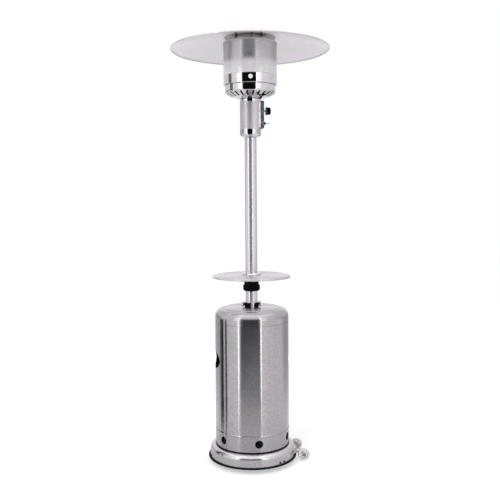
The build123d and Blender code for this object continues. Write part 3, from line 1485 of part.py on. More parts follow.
os.makedirs("parts", exist_ok=True)
for name, make in NODES.items():
    lifted = [Pos(0, 0, STAND_H) * solid for solid in make().solids()]
    node = lifted[0] if len(lifted) == 1 else group(lifted)
    node.label = name
    export_step(node, f"parts/{name}.step")
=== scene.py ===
import logging
from dataclasses import dataclass, replace
from enum import Enum
from functools import cache
from math import atan, cos, degrees, pi, radians, sin
from typing import Callable, ClassVar, Iterable, Sequence

import bmesh
import bpy
from mathutils import Matrix, Vector


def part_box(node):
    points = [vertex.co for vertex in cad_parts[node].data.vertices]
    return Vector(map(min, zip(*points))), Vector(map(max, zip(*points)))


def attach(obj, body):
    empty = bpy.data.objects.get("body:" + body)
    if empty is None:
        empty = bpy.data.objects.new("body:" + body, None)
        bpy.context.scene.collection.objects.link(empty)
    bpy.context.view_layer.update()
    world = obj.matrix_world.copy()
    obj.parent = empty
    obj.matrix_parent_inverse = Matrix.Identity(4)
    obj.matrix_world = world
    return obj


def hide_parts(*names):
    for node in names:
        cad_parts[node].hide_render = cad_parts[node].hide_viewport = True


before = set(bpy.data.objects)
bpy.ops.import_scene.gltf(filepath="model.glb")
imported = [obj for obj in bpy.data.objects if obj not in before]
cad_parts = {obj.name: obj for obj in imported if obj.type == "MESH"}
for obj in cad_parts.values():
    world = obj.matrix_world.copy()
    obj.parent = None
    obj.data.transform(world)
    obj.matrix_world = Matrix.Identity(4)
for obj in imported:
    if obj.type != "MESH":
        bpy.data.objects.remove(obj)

Colour = Spot = tuple[float, float, float]
Tone = tuple[float, ...]
Band = tuple[float, float]
Socket = bpy.types.NodeSocket
Node = bpy.types.Node
Tree = bpy.types.NodeTree
Work = bmesh.types.BMesh
Point = bmesh.types.BMVert

LOG = logging.getLogger("heater")
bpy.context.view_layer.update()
IMAGE_PX = 500
SENSOR_MM = 36.0
MM = 0.001
HALF = 0.5
SHARP_ANGLE = 40.0
UP = Vector((0.0, 0.0, 1.0))
WHITE = (1.0, 1.0, 1.0, 1.0)

# Ranges of noise, and of the slope of a face, that masks are spread over.
NOISE_BAND = (0.3, 0.7)
BLOTCH_BAND = (0.35, 0.68)
DUST_BAND = (0.3, 0.75)
DUST_LEAST = 0.15
DUST_SLOPE = (0.5, 0.98)
INWARD_BAND = (-0.4, -0.1)
DOWN_BAND = (-0.8, -0.4)
UP_BAND = (0.4, 0.8)


class Body(Enum):
    """The bodies that the scene's own pieces ride on."""

    STAND = "root"
    HOUSING = "tank_housing"


class Sheet:
    """Adds and links nodes in one node tree."""

    COLOUR_INPUTS: ClassVar[tuple[int, int]] = (6, 7)
    COLOUR_OUTPUT: ClassVar[int] = 2

    def __init__(self, tree: Tree) -> None:
        """Keeps the tree that the nodes go into."""
        self.tree = tree

    def add(self, kind: str, **settings: object) -> Node:
        """Adds a node.

        Args:
            kind: Blender's type name of the node.
            settings: properties set on the new node.

        Returns:
            The new node.
        """
        node = self.tree.nodes.new(kind)
        for name, value in settings.items():
            setattr(node, name, value)
        return node

    def join(self, source: Socket, target: Socket) -> None:
        """Links one socket to another."""
        self.tree.links.new(source, target)

    def feed(self, target: Socket, value: object) -> None:
        """Sets a socket to a plain value, or links it to another socket."""
        if isinstance(value, bpy.types.NodeSocket):
            self.join(value, target)
        else:
            target.default_value = value

    def wire(self, node: Node, values: dict[str, object]) -> Node:
        """Feeds a node's inputs by name, and gives the node back."""
        for label, value in values.items():
            self.feed(node.inputs[label], value)
        return node

    def math(self, operation: str, *values: object) -> Socket:
        """Adds a Math node.

        Args:
            operation: Blender's name of the operation.
            values: numbers or sockets, in the node's order.

        Returns:
            The result's socket.
        """
        node = self.add("ShaderNodeMath", operation=operation)
        for target, value in zip(node.inputs, values):
            self.feed(target, value)
        return node.outputs[0]

    def times(self, first: object, second: object) -> Socket:
        """Multiplies two numbers or sockets."""
        return self.math("MULTIPLY", first, second)

    def over(self, mask: Socket, shown: Socket, light: float) -> Socket:
        """Shows a light over another, where the mask is 1."""
        return self.math("MULTIPLY_ADD", mask, self.math("SUBTRACT", light, shown), shown)

    def spread(
        self, value: object, low: float, high: float, to_low: float = 0.0, to_high: float = 1.0
    ) -> Socket:
        """Maps a value smoothly from one range to another.

        Args:
            value: the number or socket to map.
            low: start of the first range.
            high: end of the first range.
            to_low: result at the start.
            to_high: result at the end.

        Returns:
            The mapped value's socket.
        """
        node = self.add("ShaderNodeMapRange", interpolation_type="SMOOTHSTEP")
        for target, item in zip(node.inputs, (value, low, high, to_low, to_high)):
            self.feed(target, item)
        return node.outputs[0]

    def mix(self, factor: object, first: object, second: object) -> Socket:
        """Mixes two colours.

        Args:
            factor: share of the second colour, a number or a socket.
            first: colour or socket.
            second: colour or socket.

        Returns:
            The mixed colour's socket.
        """
        node = self.add("ShaderNodeMix", data_type="RGBA")
        self.feed(node.inputs["Factor"], factor)
        for index, colour in zip(self.COLOUR_INPUTS, (first, second)):
            self.feed(node.inputs[index], colour)
        return node.outputs[self.COLOUR_OUTPUT]

    def object_point(self) -> Socket:
        """Gives the surface point in the piece's own frame, which moves with the piece."""
        return self.add("ShaderNodeTexCoord").outputs["Object"]

    def split(self, vector: Socket) -> Sequence[Socket]:
        """Gives the three parts of a vector."""
        parts = self.add("ShaderNodeSeparateXYZ")
        self.join(vector, parts.inputs[0])
        return parts.outputs

    def from_axis(self, x: Socket, y: Socket) -> Socket:
        """Gives a point's distance from the post's axis."""
        return self.math("SQRT", self.math("ADD", self.times(x, x), self.times(y, y)))

    def noise(self, vector: Socket, scale: object, detail: float) -> Socket:
        """Adds a Noise texture.

        Args:
            vector: where the noise is read.
            scale: number or socket.
            detail: number of finer layers.

        Returns:
            The noise value's socket.
        """
        node = self.add("ShaderNodeTexNoise", noise_dimensions="3D")
        self.wire(node, {"Vector": vector, "Scale": scale, "Detail": detail})
        return node.outputs["Fac"]

    def place(self, group: Tree, **values: float) -> Socket:
        """Places a node group with its inputs set, and gives its output."""
        node = self.add("ShaderNodeGroup", node_tree=group)
        return self.wire(node, values).outputs[0]


def new_group(name: str, output: str, **inputs: float) -> tuple[Sheet, dict[str, Socket], Socket]:
    """Starts a shader node group with number sockets.

    Args:
        name: the group's name.
        output: name of its one output.
        inputs: first value of each input.

    Returns:
        The group's sheet, its inputs by name, and its output.
    """
    group = bpy.data.node_groups.new(name, "ShaderNodeTree")
    for label, value in inputs.items():
        socket = group.interface.new_socket(label, in_out="INPUT", socket_type="NodeSocketFloat")
        socket.default_value = value
    group.interface.new_socket(output, in_out="OUTPUT", socket_type="NodeSocketFloat")
    given = group.nodes.new("NodeGroupInput").outputs
    result = group.nodes.new("NodeGroupOutput").inputs[output]
    return Sheet(group), {label: given[label] for label in inputs}, result


@cache
def turned_grain() -> Tree:
    """Builds the fine lines that run round a piece brushed on a lathe.

    Returns:
        A group with the inputs Lines and Run, and the output Streak from 0 to 1.
    """
    sheet, given, result = new_group("turned_grain", "Streak", Lines=900.0, Run=3.0)
    x, y, z = sheet.split(sheet.object_point())
    radius = sheet.from_axis(x, y)
    safe = sheet.math("MAXIMUM", radius, MM)
    spot = sheet.wire(sheet.add("ShaderNodeCombineXYZ"), {
        "X": sheet.times(sheet.math("DIVIDE", x, safe), given["Run"]),
        "Y": sheet.times(sheet.math("DIVIDE", y, safe), given["Run"]),
        "Z": sheet.times(sheet.math("ADD", radius, z), given["Lines"]),
    })
    streak = sheet.noise(spot.outputs[0], scale=1.0, detail=2.0)
    sheet.join(sheet.spread(streak, *NOISE_BAND), result)
    return sheet.tree


@cache
def soft_blotch() -> Tree:
    """Builds broad soft patches, as handling, rain and heat leave them.

    Returns:
        A group with the input Scale and the output Mask from 0 to 1.
    """
    sheet, given, result = new_group("soft_blotch", "Mask", Scale=9.0)
    value = sheet.noise(sheet.object_point(), given["Scale"], detail=4.0)
    sheet.join(sheet.spread(value, *BLOTCH_BAND), result)
    return sheet.tree


@cache
def fine_grain() -> Tree:
    """Builds the fine grain of moulded plastic, rubber and powder coat, and of spangled sheet.

    Returns:
        A group with the input Scale and the output Height from 0 to 1.
    """
    sheet, given, result = new_group("fine_grain", "Height", Scale=900.0)
    sheet.join(sheet.noise(sheet.object_point(), given["Scale"], detail=3.0), result)
    return sheet.tree


@cache
def settled_dust() -> Tree:
    """Builds the thin dust that settles on faces that look up.

    Returns:
        A group with the input Scale and the output Mask from 0 to 1.
    """
    sheet, given, result = new_group("settled_dust", "Mask", Scale=26.0)
    facing = sheet.split(sheet.add("ShaderNodeNewGeometry").outputs["Normal"])
    upward = sheet.spread(facing[2], *DUST_SLOPE)
    patch = sheet.noise(sheet.object_point(), given["Scale"], detail=5.0)
    sheet.join(sheet.times(upward, sheet.spread(patch, *DUST_BAND, DUST_LEAST)), result)
    return sheet.tree


@cache
def stain_and_shade_side() -> Tree:
    """Masks faces of a turned sheet that look at the axis, down or up: heat stain and painted
    shade.

    Returns:
        A group with the inputs Inward, Down and Up, each the share of such faces, and the
        output Mask.
    """
    sheet, given, result = new_group("stain_and_shade_side", "Mask", Inward=1.0, Down=0.0, Up=0.0)
    place = sheet.add("ShaderNodeTexCoord").outputs
    x, y, _ = sheet.split(place["Object"])
    facing = sheet.split(place["Normal"])[2]
    level = sheet.wire(sheet.add("ShaderNodeCombineXYZ"), {"X": x, "Y": y})
    outward = sheet.add("ShaderNodeVectorMath", operation="NORMALIZE")
    sheet.join(level.outputs[0], outward.inputs[0])
    along = sheet.add("ShaderNodeVectorMath", operation="DOT_PRODUCT")
    sheet.join(outward.outputs[0], along.inputs[0])
    sheet.join(place["Normal"], along.inputs[1])
    inward = sheet.spread(along.outputs["Value"], *INWARD_BAND, 1.0, 0.0)
    down = sheet.spread(facing, *DOWN_BAND, 1.0, 0.0)
    up = sheet.spread(facing, *UP_BAND)
    mask = sheet.math(
        "MAXIMUM", sheet.times(inward, given["Inward"]), sheet.times(down, given["Down"]))
    sheet.join(sheet.math("MAXIMUM", mask, sheet.times(up, given["Up"])), result)
    return sheet.tree


@dataclass(frozen=True)
class Finish:
    """A surface finish, made into one material.

    Attributes:
        slot: the record's material slot that the finish belongs to.
        colour: the plain colour, linear.
        rough: the plain roughness.
        relief: depth of the bump, in metres.
    """

    slot: str
    colour: Colour
    rough: float
    relief: float

    @cache
    def material(self) -> bpy.types.Material:
        """Gives the finish's material, made the first time it is asked for."""
        material = bpy.data.materials.new(self.slot)
        material.use_nodes = True
        tree = material.node_tree
        self.paint(Sheet(tree), tree.nodes["Principled BSDF"])
        return material

    def paint(self, sheet: Sheet, shader: Node) -> None:
        """Wires the finish's nodes to its shader.

        Args:
            sheet: the material's nodes.
            shader: the material's Principled shader.
        """
        raise NotImplementedError

    def bump(self, sheet: Sheet, shader: Node, height: Socket) -> None:
        """Raises the surface by a height map.

        Args:
            sheet: the material's nodes.
            shader: the shader that gets the bumped normal.
            height: map from 0 to 1.
        """
        node = sheet.add("ShaderNodeBump")
        sheet.wire(node, {"Strength": 1.0, "Distance": self.relief, "Height": height})
        sheet.join(node.outputs[0], shader.inputs["Normal"])

    def tones(self, *factors: float) -> list[Tone]:
        """Gives darker or lighter tones of the colour as RGBA, one for each factor."""
        return [(*(min(part * factor, 1.0) for part in self.colour), 1.0) for factor in factors]


@dataclass(frozen=True)
class TurnedMetal(Finish):
    """Sheet metal brushed or polished round its axis.

    Attributes:
        stretch: how far the brushing draws reflections out across the lines.
        lines: lines to a metre, over two pi.
        uneven: how much the roughness changes over the surface.
        dusty: share of dust on faces that look up.
        stain_shade_shares: shares of the faces that look inward, down and up that are darkened,
            partly as heat stain and partly as painted shade.
        cloud: how far broad clouds shift the tone.
        speckle: how far small spangles shift the tone.
        bare: share of bare metal, where the rest is a dull skin.
    """

    stretch: float = 0.0
    lines: float = 900.0
    uneven: float = 0.04
    dusty: float = 0.0
    stain_shade_shares: tuple[float, float, float] = (0.0, 0.0, 0.0)
    cloud: float = 0.06
    speckle: float = 0.0
    bare: float = 1.0

    STREAKS: ClassVar[Band] = (0.95, 1.04)
    CLOUDS: ClassVar[float] = 7.0
    SPANGLES: ClassVar[float] = 170.0
    ACROSS: ClassVar[float] = 0.25
    DUST: ClassVar[Tone] = (0.55, 0.54, 0.51, 1.0)
    # Dark tone for heat stain and painted shade, on inward, down and up faces and on the dish.
    STAIN_AND_SHADE: ClassVar[Tone] = (0.06, 0.055, 0.05, 1.0)
    STAIN_AND_SHADE_ROUGH: ClassVar[float] = 0.3

    def paint(self, sheet: Sheet, shader: Node) -> None:
        """Wires brushed lines, clouds, spangles, dust, and the heat stain and painted shade, to the
        shader.
        """
        streak = sheet.place(turned_grain(), Lines=self.lines)
        blotch = sheet.place(soft_blotch(), Scale=self.CLOUDS)
        brushed = sheet.mix(streak, *self.tones(*self.STREAKS))
        clouded = sheet.mix(blotch, *self.tones(1.0 - self.cloud, 1.0 + self.cloud))
        colour = sheet.mix(HALF, brushed, clouded)
        if self.speckle:
            grain = sheet.place(fine_grain(), Scale=self.SPANGLES)
            tones = self.tones(1.0 - 2 * self.speckle, 1.0 + 2 * self.speckle)
            spangled = sheet.mix(sheet.spread(grain, *NOISE_BAND), *tones)
            colour = sheet.mix(HALF, colour, spangled)
        rough = sheet.math("MULTIPLY_ADD", blotch, self.uneven, self.rough)
        rough = sheet.math("MULTIPLY_ADD", streak, self.uneven / 2, rough)
        if self.dusty:
            dust = sheet.times(sheet.place(settled_dust()), self.dusty)
            colour = sheet.mix(dust, colour, self.DUST)
            rough = sheet.math("ADD", rough, dust)
        # Heat stain and painted shade: faces that look inward, down or up are darkened.
        if any(self.stain_shade_shares):
            inward, down, up = self.stain_shade_shares
            mask = sheet.place(stain_and_shade_side(), Inward=inward, Down=down, Up=up)
            colour = sheet.mix(mask, colour, self.STAIN_AND_SHADE)
            rough = sheet.math("MULTIPLY_ADD", mask, self.STAIN_AND_SHADE_ROUGH, rough)
        sheet.wire(shader, {"Base Color": colour, "Roughness": rough, "Metallic": self.bare})
        if self.stretch:
            tangent = sheet.add("ShaderNodeTangent", direction_type="RADIAL", axis="Z")
            sheet.wire(shader, {
                "Anisotropic": self.stretch,
                "Anisotropic Rotation": self.ACROSS,
                "Tangent": tangent.outputs[0],
            })
        self.bump(sheet, shader, streak)


@dataclass(frozen=True)
class ScreenMetal(TurnedMetal):
    """Turned screen that the flame has dulled at the foot.

    Attributes:
        foot: height up to which the sheet is dull.
        clear: height from which the sheet is bright.
        dulled: share of bare metal on the dull part.
    """

    foot: float = 0.0
    clear: float = 1.0
    dulled: float = 0.5

    def paint(self, sheet: Sheet, shader: Node) -> None:
        """Wires the turned metal, then its dull foot."""
        super().paint(sheet, shader)
        height = sheet.split(sheet.object_point())[2]
        bare = sheet.spread(height, self.foot, self.clear, self.dulled, self.bare)
        sheet.join(bare, shader.inputs["Metallic"])


@dataclass(frozen=True)
class DishMetal(TurnedMetal):
    """Turned dish with a dark ring underneath over the emitter: heat stain and painted shade of the
    gap.

    Attributes:
        stain_shade_in: radius from which the underside is darkened.
        stain_shade_out: radius from which it is clean again.
        stain_shade_soft: width of the ring's edges.
    """

    stain_shade_in: float = 0.0
    stain_shade_out: float = 1.0
    stain_shade_soft: float = 0.012

    def paint(self, sheet: Sheet, shader: Node) -> None:
        """Wires the turned metal, then the dark ring on its underside: heat stain and painted
        shade.
        """
        super().paint(sheet, shader)
        x, y, _ = sheet.split(sheet.object_point())
        radius = sheet.from_axis(x, y)
        # Ring over the emitter, darkened: heat stain and painted shade of the gap between dish and
        # cap.
        begun = sheet.spread(radius, self.stain_shade_in - self.stain_shade_soft, self.stain_shade_in)
        ended = sheet.spread(radius, self.stain_shade_out - self.stain_shade_soft, self.stain_shade_out, 1.0, 0.0)
        under = sheet.place(stain_and_shade_side(), Inward=0.0, Down=1.0)
        mask = sheet.times(sheet.times(begun, ended), under)
        colour = shader.inputs["Base Color"].links[0].from_socket
        sheet.join(sheet.mix(mask, colour, self.STAIN_AND_SHADE), shader.inputs["Base Color"])


@dataclass(frozen=True)
class PlainMetal(Finish):
    """Plated, cast or drawn metal with no brushing.

    Attributes:
        grain: size of the surface grain, as a noise scale.
        uneven: how much the roughness changes over the surface.
        bare: share of bare metal, where the rest is a dull skin.
    """

    grain: float = 400.0
    uneven: float = 0.1
    bare: float = 1.0

    BLOTCHES: ClassVar[float] = 40.0
    TONES: ClassVar[Band] = (1.08, 0.82)

    def paint(self, sheet: Sheet, shader: Node) -> None:
        """Wires grain and blotches to the shader."""
        grain = sheet.place(fine_grain(), Scale=self.grain)
        blotch = sheet.place(soft_blotch(), Scale=self.BLOTCHES)
        colour = sheet.mix(blotch, *self.tones(*self.TONES))
        rough = sheet.math("MULTIPLY_ADD", blotch, self.uneven, self.rough)
        sheet.wire(shader, {"Base Color": colour, "Roughness": rough, "Metallic": self.bare})
        self.bump(sheet, shader, grain)


@dataclass(frozen=True)
class Moulding(Finish):
    """Moulded plastic, rubber or powder coat.

    Attributes:
        grain: size of the surface grain, as a noise scale.
        mottle: how far the colour drifts between its darker and lighter tone.
        dusty: share of dust on faces that look up.
        tint: colour that the mottle drifts to.
        gloss: strength of the shine.
    """

    grain: float = 1400.0
    mottle: float = 0.25
    dusty: float = 0.1
    tint: Colour | None = None
    gloss: float = 0.5

    BLOTCHES: ClassVar[float] = 60.0
    GRAIN_ROUGH: ClassVar[float] = 0.1
    DUST_ROUGH: ClassVar[float] = 0.4
    DUST: ClassVar[Tone] = (0.3, 0.29, 0.27, 1.0)

    def paint(self, sheet: Sheet, shader: Node) -> None:
        """Wires grain, mottle and dust to the shader."""
        grain = sheet.place(fine_grain(), Scale=self.grain)
        blotch = sheet.place(soft_blotch(), Scale=self.BLOTCHES)
        dust = sheet.times(sheet.place(settled_dust()), self.dusty)
        dark, light = self.tones(1.0 - self.mottle, 1.0 + self.mottle)
        if self.tint:
            light = (*self.tint, 1.0)
        colour = sheet.mix(dust, sheet.mix(blotch, dark, light), self.DUST)
        rough = sheet.math("MULTIPLY_ADD", grain, self.GRAIN_ROUGH, self.rough)
        rough = sheet.math("MULTIPLY_ADD", dust, self.DUST_ROUGH, rough)
        sheet.wire(shader, {
            "Base Color": colour, "Roughness": rough, "Specular IOR Level": self.gloss})
        self.bump(sheet, shader, grain)


BRUSHED = TurnedMetal(
    "brushed_stainless", (0.455, 0.435, 0.46), 0.16, 4e-6,
    stretch=1.0, dusty=0.05, cloud=0.12, speckle=0.11)
ROOF = TurnedMetal(
    "brushed_stainless", (0.46, 0.44, 0.464), 0.18, 2e-6, stretch=0.8, dusty=0.05)
BASE_STEEL = TurnedMetal(
    "brushed_stainless", (0.61, 0.588, 0.616), 0.2, 4e-6,
    stretch=0.4, dusty=0.05, cloud=0.12, speckle=0.1)
POST_STEEL = TurnedMetal("brushed_stainless", (0.77, 0.742, 0.785), 0.28, 4e-6, stretch=1.0)
SATIN = TurnedMetal("brushed_stainless", (0.73, 0.694, 0.735), 0.5, 4e-6, stretch=0.4)
POLISHED = TurnedMetal(
    "polished_stainless", (0.67, 0.638, 0.676), 0.06, 1e-6, lines=500.0, uneven=0.02)
# Bowl faces that look inward and up are darkened: heat stain and painted shade.
BOWL_STEEL = replace(POLISHED, stain_shade_shares=(1.0, 0.0, 1.0))
FRAME_STEEL = PlainMetal("polished_stainless", (0.84, 0.84, 0.83), 0.5, 4e-6, bare=0.3)
# The screen's inside is darkened: heat stain and painted shade.
SCREEN = ScreenMetal(
    "emitter_steel", (0.82, 0.81, 0.838), 0.4, 3e-6,
    stretch=1.0, stain_shade_shares=(0.8, 0.0, 0.0), bare=0.95, foot=2.045, clear=2.08, dulled=0.12)
# The cap's inward, down and up faces are darkened: heat stain and painted shade in the gap under
# the dish.
CAP_STEEL = TurnedMetal("emitter_steel", (0.7, 0.7, 0.69), 0.4, 3e-6, stain_shade_shares=(0.8, 0.6, 0.2))
# Dark ring under the dish over the emitter: heat stain and painted shade of the gap.
DISH = DishMetal(
    "reflector_aluminium", (0.67, 0.638, 0.677), 0.15, 2e-6,
    stretch=0.3, lines=500.0, dusty=0.08, bare=0.45, stain_shade_in=0.075, stain_shade_out=0.137)
TABLE_STEEL = TurnedMetal(
    "table_steel", (0.52, 0.497, 0.525), 0.24, 4e-6, stretch=0.6, dusty=0.05, bare=0.4)
BLACK_PLASTIC = Moulding(
    "black_plastic", (0.003, 0.003, 0.0032), 0.42, 2e-5, dusty=0.006, gloss=0.04)
KNOB_PLASTIC = Moulding(
    "knob_plastic", (0.003, 0.003, 0.0032), 0.2, 6e-6, dusty=0.005, gloss=0.05)
EDGE_RUBBER = Moulding("edge_rubber", (0.004, 0.004, 0.004), 0.55, 2e-5, dusty=0.04, gloss=0.08)
SLATE = Moulding(
    "slate_paint", (0.05, 0.056, 0.062), 0.38, 1.5e-5,
    grain=700.0, mottle=0.45, tint=(0.105, 0.125, 0.15))
PANEL_PRINT = Moulding("slate_paint", (0.6, 0.61, 0.6), 0.5, 4e-6, mottle=0.05, dusty=0.0)
HUB_GREY = Moulding("black_plastic", (0.16, 0.155, 0.158), 0.5, 2e-5, dusty=0.04, gloss=0.2)
WHEEL_GREY = Moulding(
    "wheel_plastic", (0.67, 0.645, 0.665), 0.45, 2e-5, mottle=0.06, dusty=0.05)
CERAMIC = Moulding(
    "white_ceramic", (0.85, 0.85, 0.83), 0.2, 4e-6, grain=500.0, mottle=0.04, dusty=0.02)
LEG_BLACK = Moulding("leg_paint", (0.02, 0.02, 0.021), 0.4, 2e-5, grain=800.0, gloss=0.3)
IRON = PlainMetal("ballast_iron", (0.1, 0.098, 0.095), 0.6, 8e-5, grain=260.0)
ZINC = PlainMetal("zinc_steel", (0.58, 0.58, 0.57), 0.3, 8e-6)
DARK_ZINC = PlainMetal("zinc_steel", (0.035, 0.035, 0.036), 0.4, 8e-6)
BRASS = PlainMetal("brass_parts", (0.72, 0.52, 0.24), 0.28, 6e-6)
AGED_BRASS = PlainMetal("brass_parts", (0.17, 0.15, 0.12), 0.42, 8e-6)


def add_object(name: str, data: bpy.types.ID) -> bpy.types.Object:
    """Adds an object to the scene, with a mesh, a lamp or a camera."""
    holder = bpy.data.objects.new(name, data)
    bpy.context.scene.collection.objects.link(holder)
    return holder


def add_piece(
    name: str, finish: Finish, body: Body, fill: Callable[[Work], None]
) -> bpy.types.Object:
    """Adds a smooth-shaded piece that rides on a body.

    Args:
        name: the piece's name.
        finish: its finish.
        body: the body that carries it.
        fill: function that fills a new bmesh, in metres in the shared frame.

    Returns:
        The new object.
    """
    work = bmesh.new()
    fill(work)
    bmesh.ops.recalc_face_normals(work, faces=work.faces)
    mesh = bpy.data.meshes.new(name)
    work.to_mesh(mesh)
    work.free()
    mesh.shade_smooth()
    mesh.set_sharp_from_angle(angle=radians(SHARP_ANGLE))
    piece = add_object(name, mesh)
    piece.data.materials.append(finish.material())
    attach(piece, body.value)
    LOG.info("piece %s rides on %s", name, body.value)
    return piece


def arc(centre: float, half: float, steps: int) -> list[float]:
    """Spreads angles, in radians, over an arc that is given in degrees, with both ends."""
    return [radians(centre + half * (2 * step / steps - 1)) for step in range(steps + 1)]


def round_turn(steps: int) -> list[float]:
    """Spreads angles, in radians, over a whole turn."""
    return [2 * pi * step / steps for step in range(steps)]


def bridge(work: Work, first: Sequence[Point], second: Sequence[Point], closed: bool) -> None:
    """Joins two rows of points by four-sided faces.

    Args:
        work: the bmesh that both rows are in.
        first: one row.
        second: the other row, just as long.
        closed: whether the rows are rings.
    """
    for here in range(len(first) if closed else len(first) - 1):
        after = (here + 1) % len(first)
        work.faces.new((first[here], first[after], second[after], second[here]))


Finishes = dict[Finish, Sequence[str]]


@dataclass
class SubAssembly:
    """A group of CAD nodes that are dressed together."""

    FINISHES: ClassVar[Finishes] = {}

    def build(self) -> None:
        """Adds the pieces that only the scene has; a plain group has none."""

    def dress(self) -> None:
        """Gives each CAD node of the group its finish."""
        for finish, names in self.FINISHES.items():
            for name in names:
                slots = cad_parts[name].data.materials
                slots.clear()
                slots.append(finish.material())
                LOG.info("node %s gets %s", name, finish.slot)


@dataclass
class WheeledBase(SubAssembly):
    """Round base pan with its ballast, legs and wheels."""

    FINISHES: ClassVar[Finishes] = {
        BASE_STEEL: ["base_pan"],
        EDGE_RUBBER: ["base_edge_trim", "base_feet"],
        IRON: ["base_ballast"],
        LEG_BLACK: ["base_brackets", "support_leg_1", "support_leg_2", "support_leg_3"],
        ZINC: ["leg_bolts", "leg_post_bolts", "wheel_bracket", "wheel_bracket_bolts", "wheel_axle"],
        DARK_ZINC: ["skirt_screws"],
        WHEEL_GREY: ["wheel_front", "wheel_rear"],
        HUB_GREY: ["axle_caps"],
    }


@dataclass
class TankHousing(SubAssembly):
    """Lifting tank housing with its collar and wing screws.

    Attributes:
        seam_azimuth: place of the shell's lap seam, in degrees from the front towards +X.
        seam_width: width of the lap.
        seam_rise: how far the lap stands proud of the shell.
        seam_inset: bare height above and below the lap.
        rivets: number of rivets down the lap.
        rivet_radius: radius of a rivet's head.
        rivet_rise: height of a rivet's head above the lap.
    """

    seam_azimuth: float = 150.0
    seam_width: float = 16.0 * MM
    seam_rise: float = 0.7 * MM
    seam_inset: float = 14.0 * MM
    rivets: int = 9
    rivet_radius: float = 3.2 * MM
    rivet_rise: float = 1.1 * MM

    FINISHES: ClassVar[Finishes] = {
        BRUSHED: ["housing_shell"],
        ROOF: ["housing_top"],
        EDGE_RUBBER: ["housing_edge_trim"],
        BLACK_PLASTIC: ["housing_collar", "collar_screw_right", "collar_screw_left"],
    }
    SINK: ClassVar[float] = 0.3 * MM
    ARC_STEPS: ClassVar[int] = 6
    DOME_SIDES: ClassVar[int] = 16
    DOME: ClassVar[tuple[Band, ...]] = ((1.0, 0.0), (0.96, 0.35), (0.78, 0.72), (0.45, 0.94))

    def build(self) -> None:
        """Adds the lap seam and its rivets at the back of the shell."""
        low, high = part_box("housing_shell")
        bottom = low.z + self.seam_inset
        top = high.z - self.seam_inset
        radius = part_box("housing_top")[1].x
        add_piece(
            "housing_seam", BRUSHED, Body.HOUSING,
            lambda work: self.lap(work, radius, bottom, top))
        pitch = (top - bottom) / self.rivets
        heights = [bottom + pitch * (number + HALF) for number in range(self.rivets)]
        proud = radius + self.seam_rise
        add_piece(
            "housing_seam_rivets", ZINC, Body.HOUSING,
            lambda work: self.rivet_row(work, proud, heights))

    def lap(self, work: Work, radius: float, low: float, high: float) -> None:
        """Fills a bmesh with a thin strip bent round the shell.

        Args:
            work: the bmesh to fill.
            radius: the shell's outer radius.
            low: height of the strip's lower end.
            high: height of its upper end.
        """
        turns = arc(self.seam_azimuth, degrees(self.seam_width / 2 / radius), self.ARC_STEPS)
        inner, outer = radius - self.SINK, radius + self.seam_rise
        rings = [
            [work.verts.new((reach * sin(turn), -reach * cos(turn), z)) for turn in turns]
            for reach, z in ((inner, low), (outer, low), (outer, high), (inner, high))
        ]
        for here, after in zip(rings, rings[1:] + rings[:1]):
            bridge(work, here, after, closed=False)
        for end in (0, self.ARC_STEPS):
            work.faces.new([ring[end] for ring in rings])

    def rivet_row(self, work: Work, radius: float, heights: Sequence[float]) -> None:
        """Fills a bmesh with domed rivet heads.

        Args:
            work: the bmesh to fill.
            radius: radius of the lap's outer face.
            heights: height of each rivet.
        """
        turn = radians(self.seam_azimuth)
        out = Vector((sin(turn), -cos(turn), 0.0))
        side = Vector((cos(turn), sin(turn), 0.0))
        spokes = [side * cos(angle) + UP * sin(angle) for angle in round_turn(self.DOME_SIDES)]
        dome = ((1.0, -self.SINK / self.rivet_rise), *self.DOME)
        for z in heights:
            rings = []
            for share, rise in dome:
                centre = out * (radius + rise * self.rivet_rise) + UP * z
                spots = [centre + spoke * share * self.rivet_radius for spoke in spokes]
                rings.append([work.verts.new(spot) for spot in spots])
            for here, after in zip(rings, rings[1:]):
                bridge(work, here, after, closed=True)
            work.faces.new(rings[0])
            work.faces.new(rings[-1])


@dataclass
class PostAndTable(SubAssembly):
    """Post with the sliding table and its clamp."""

    FINISHES: ClassVar[Finishes] = {
        POST_STEEL: ["post"],
        TABLE_STEEL: ["table_top"],
        POLISHED: ["table_hub"],
        BLACK_PLASTIC: ["table_clamp", "table_clamp_nut"],
    }


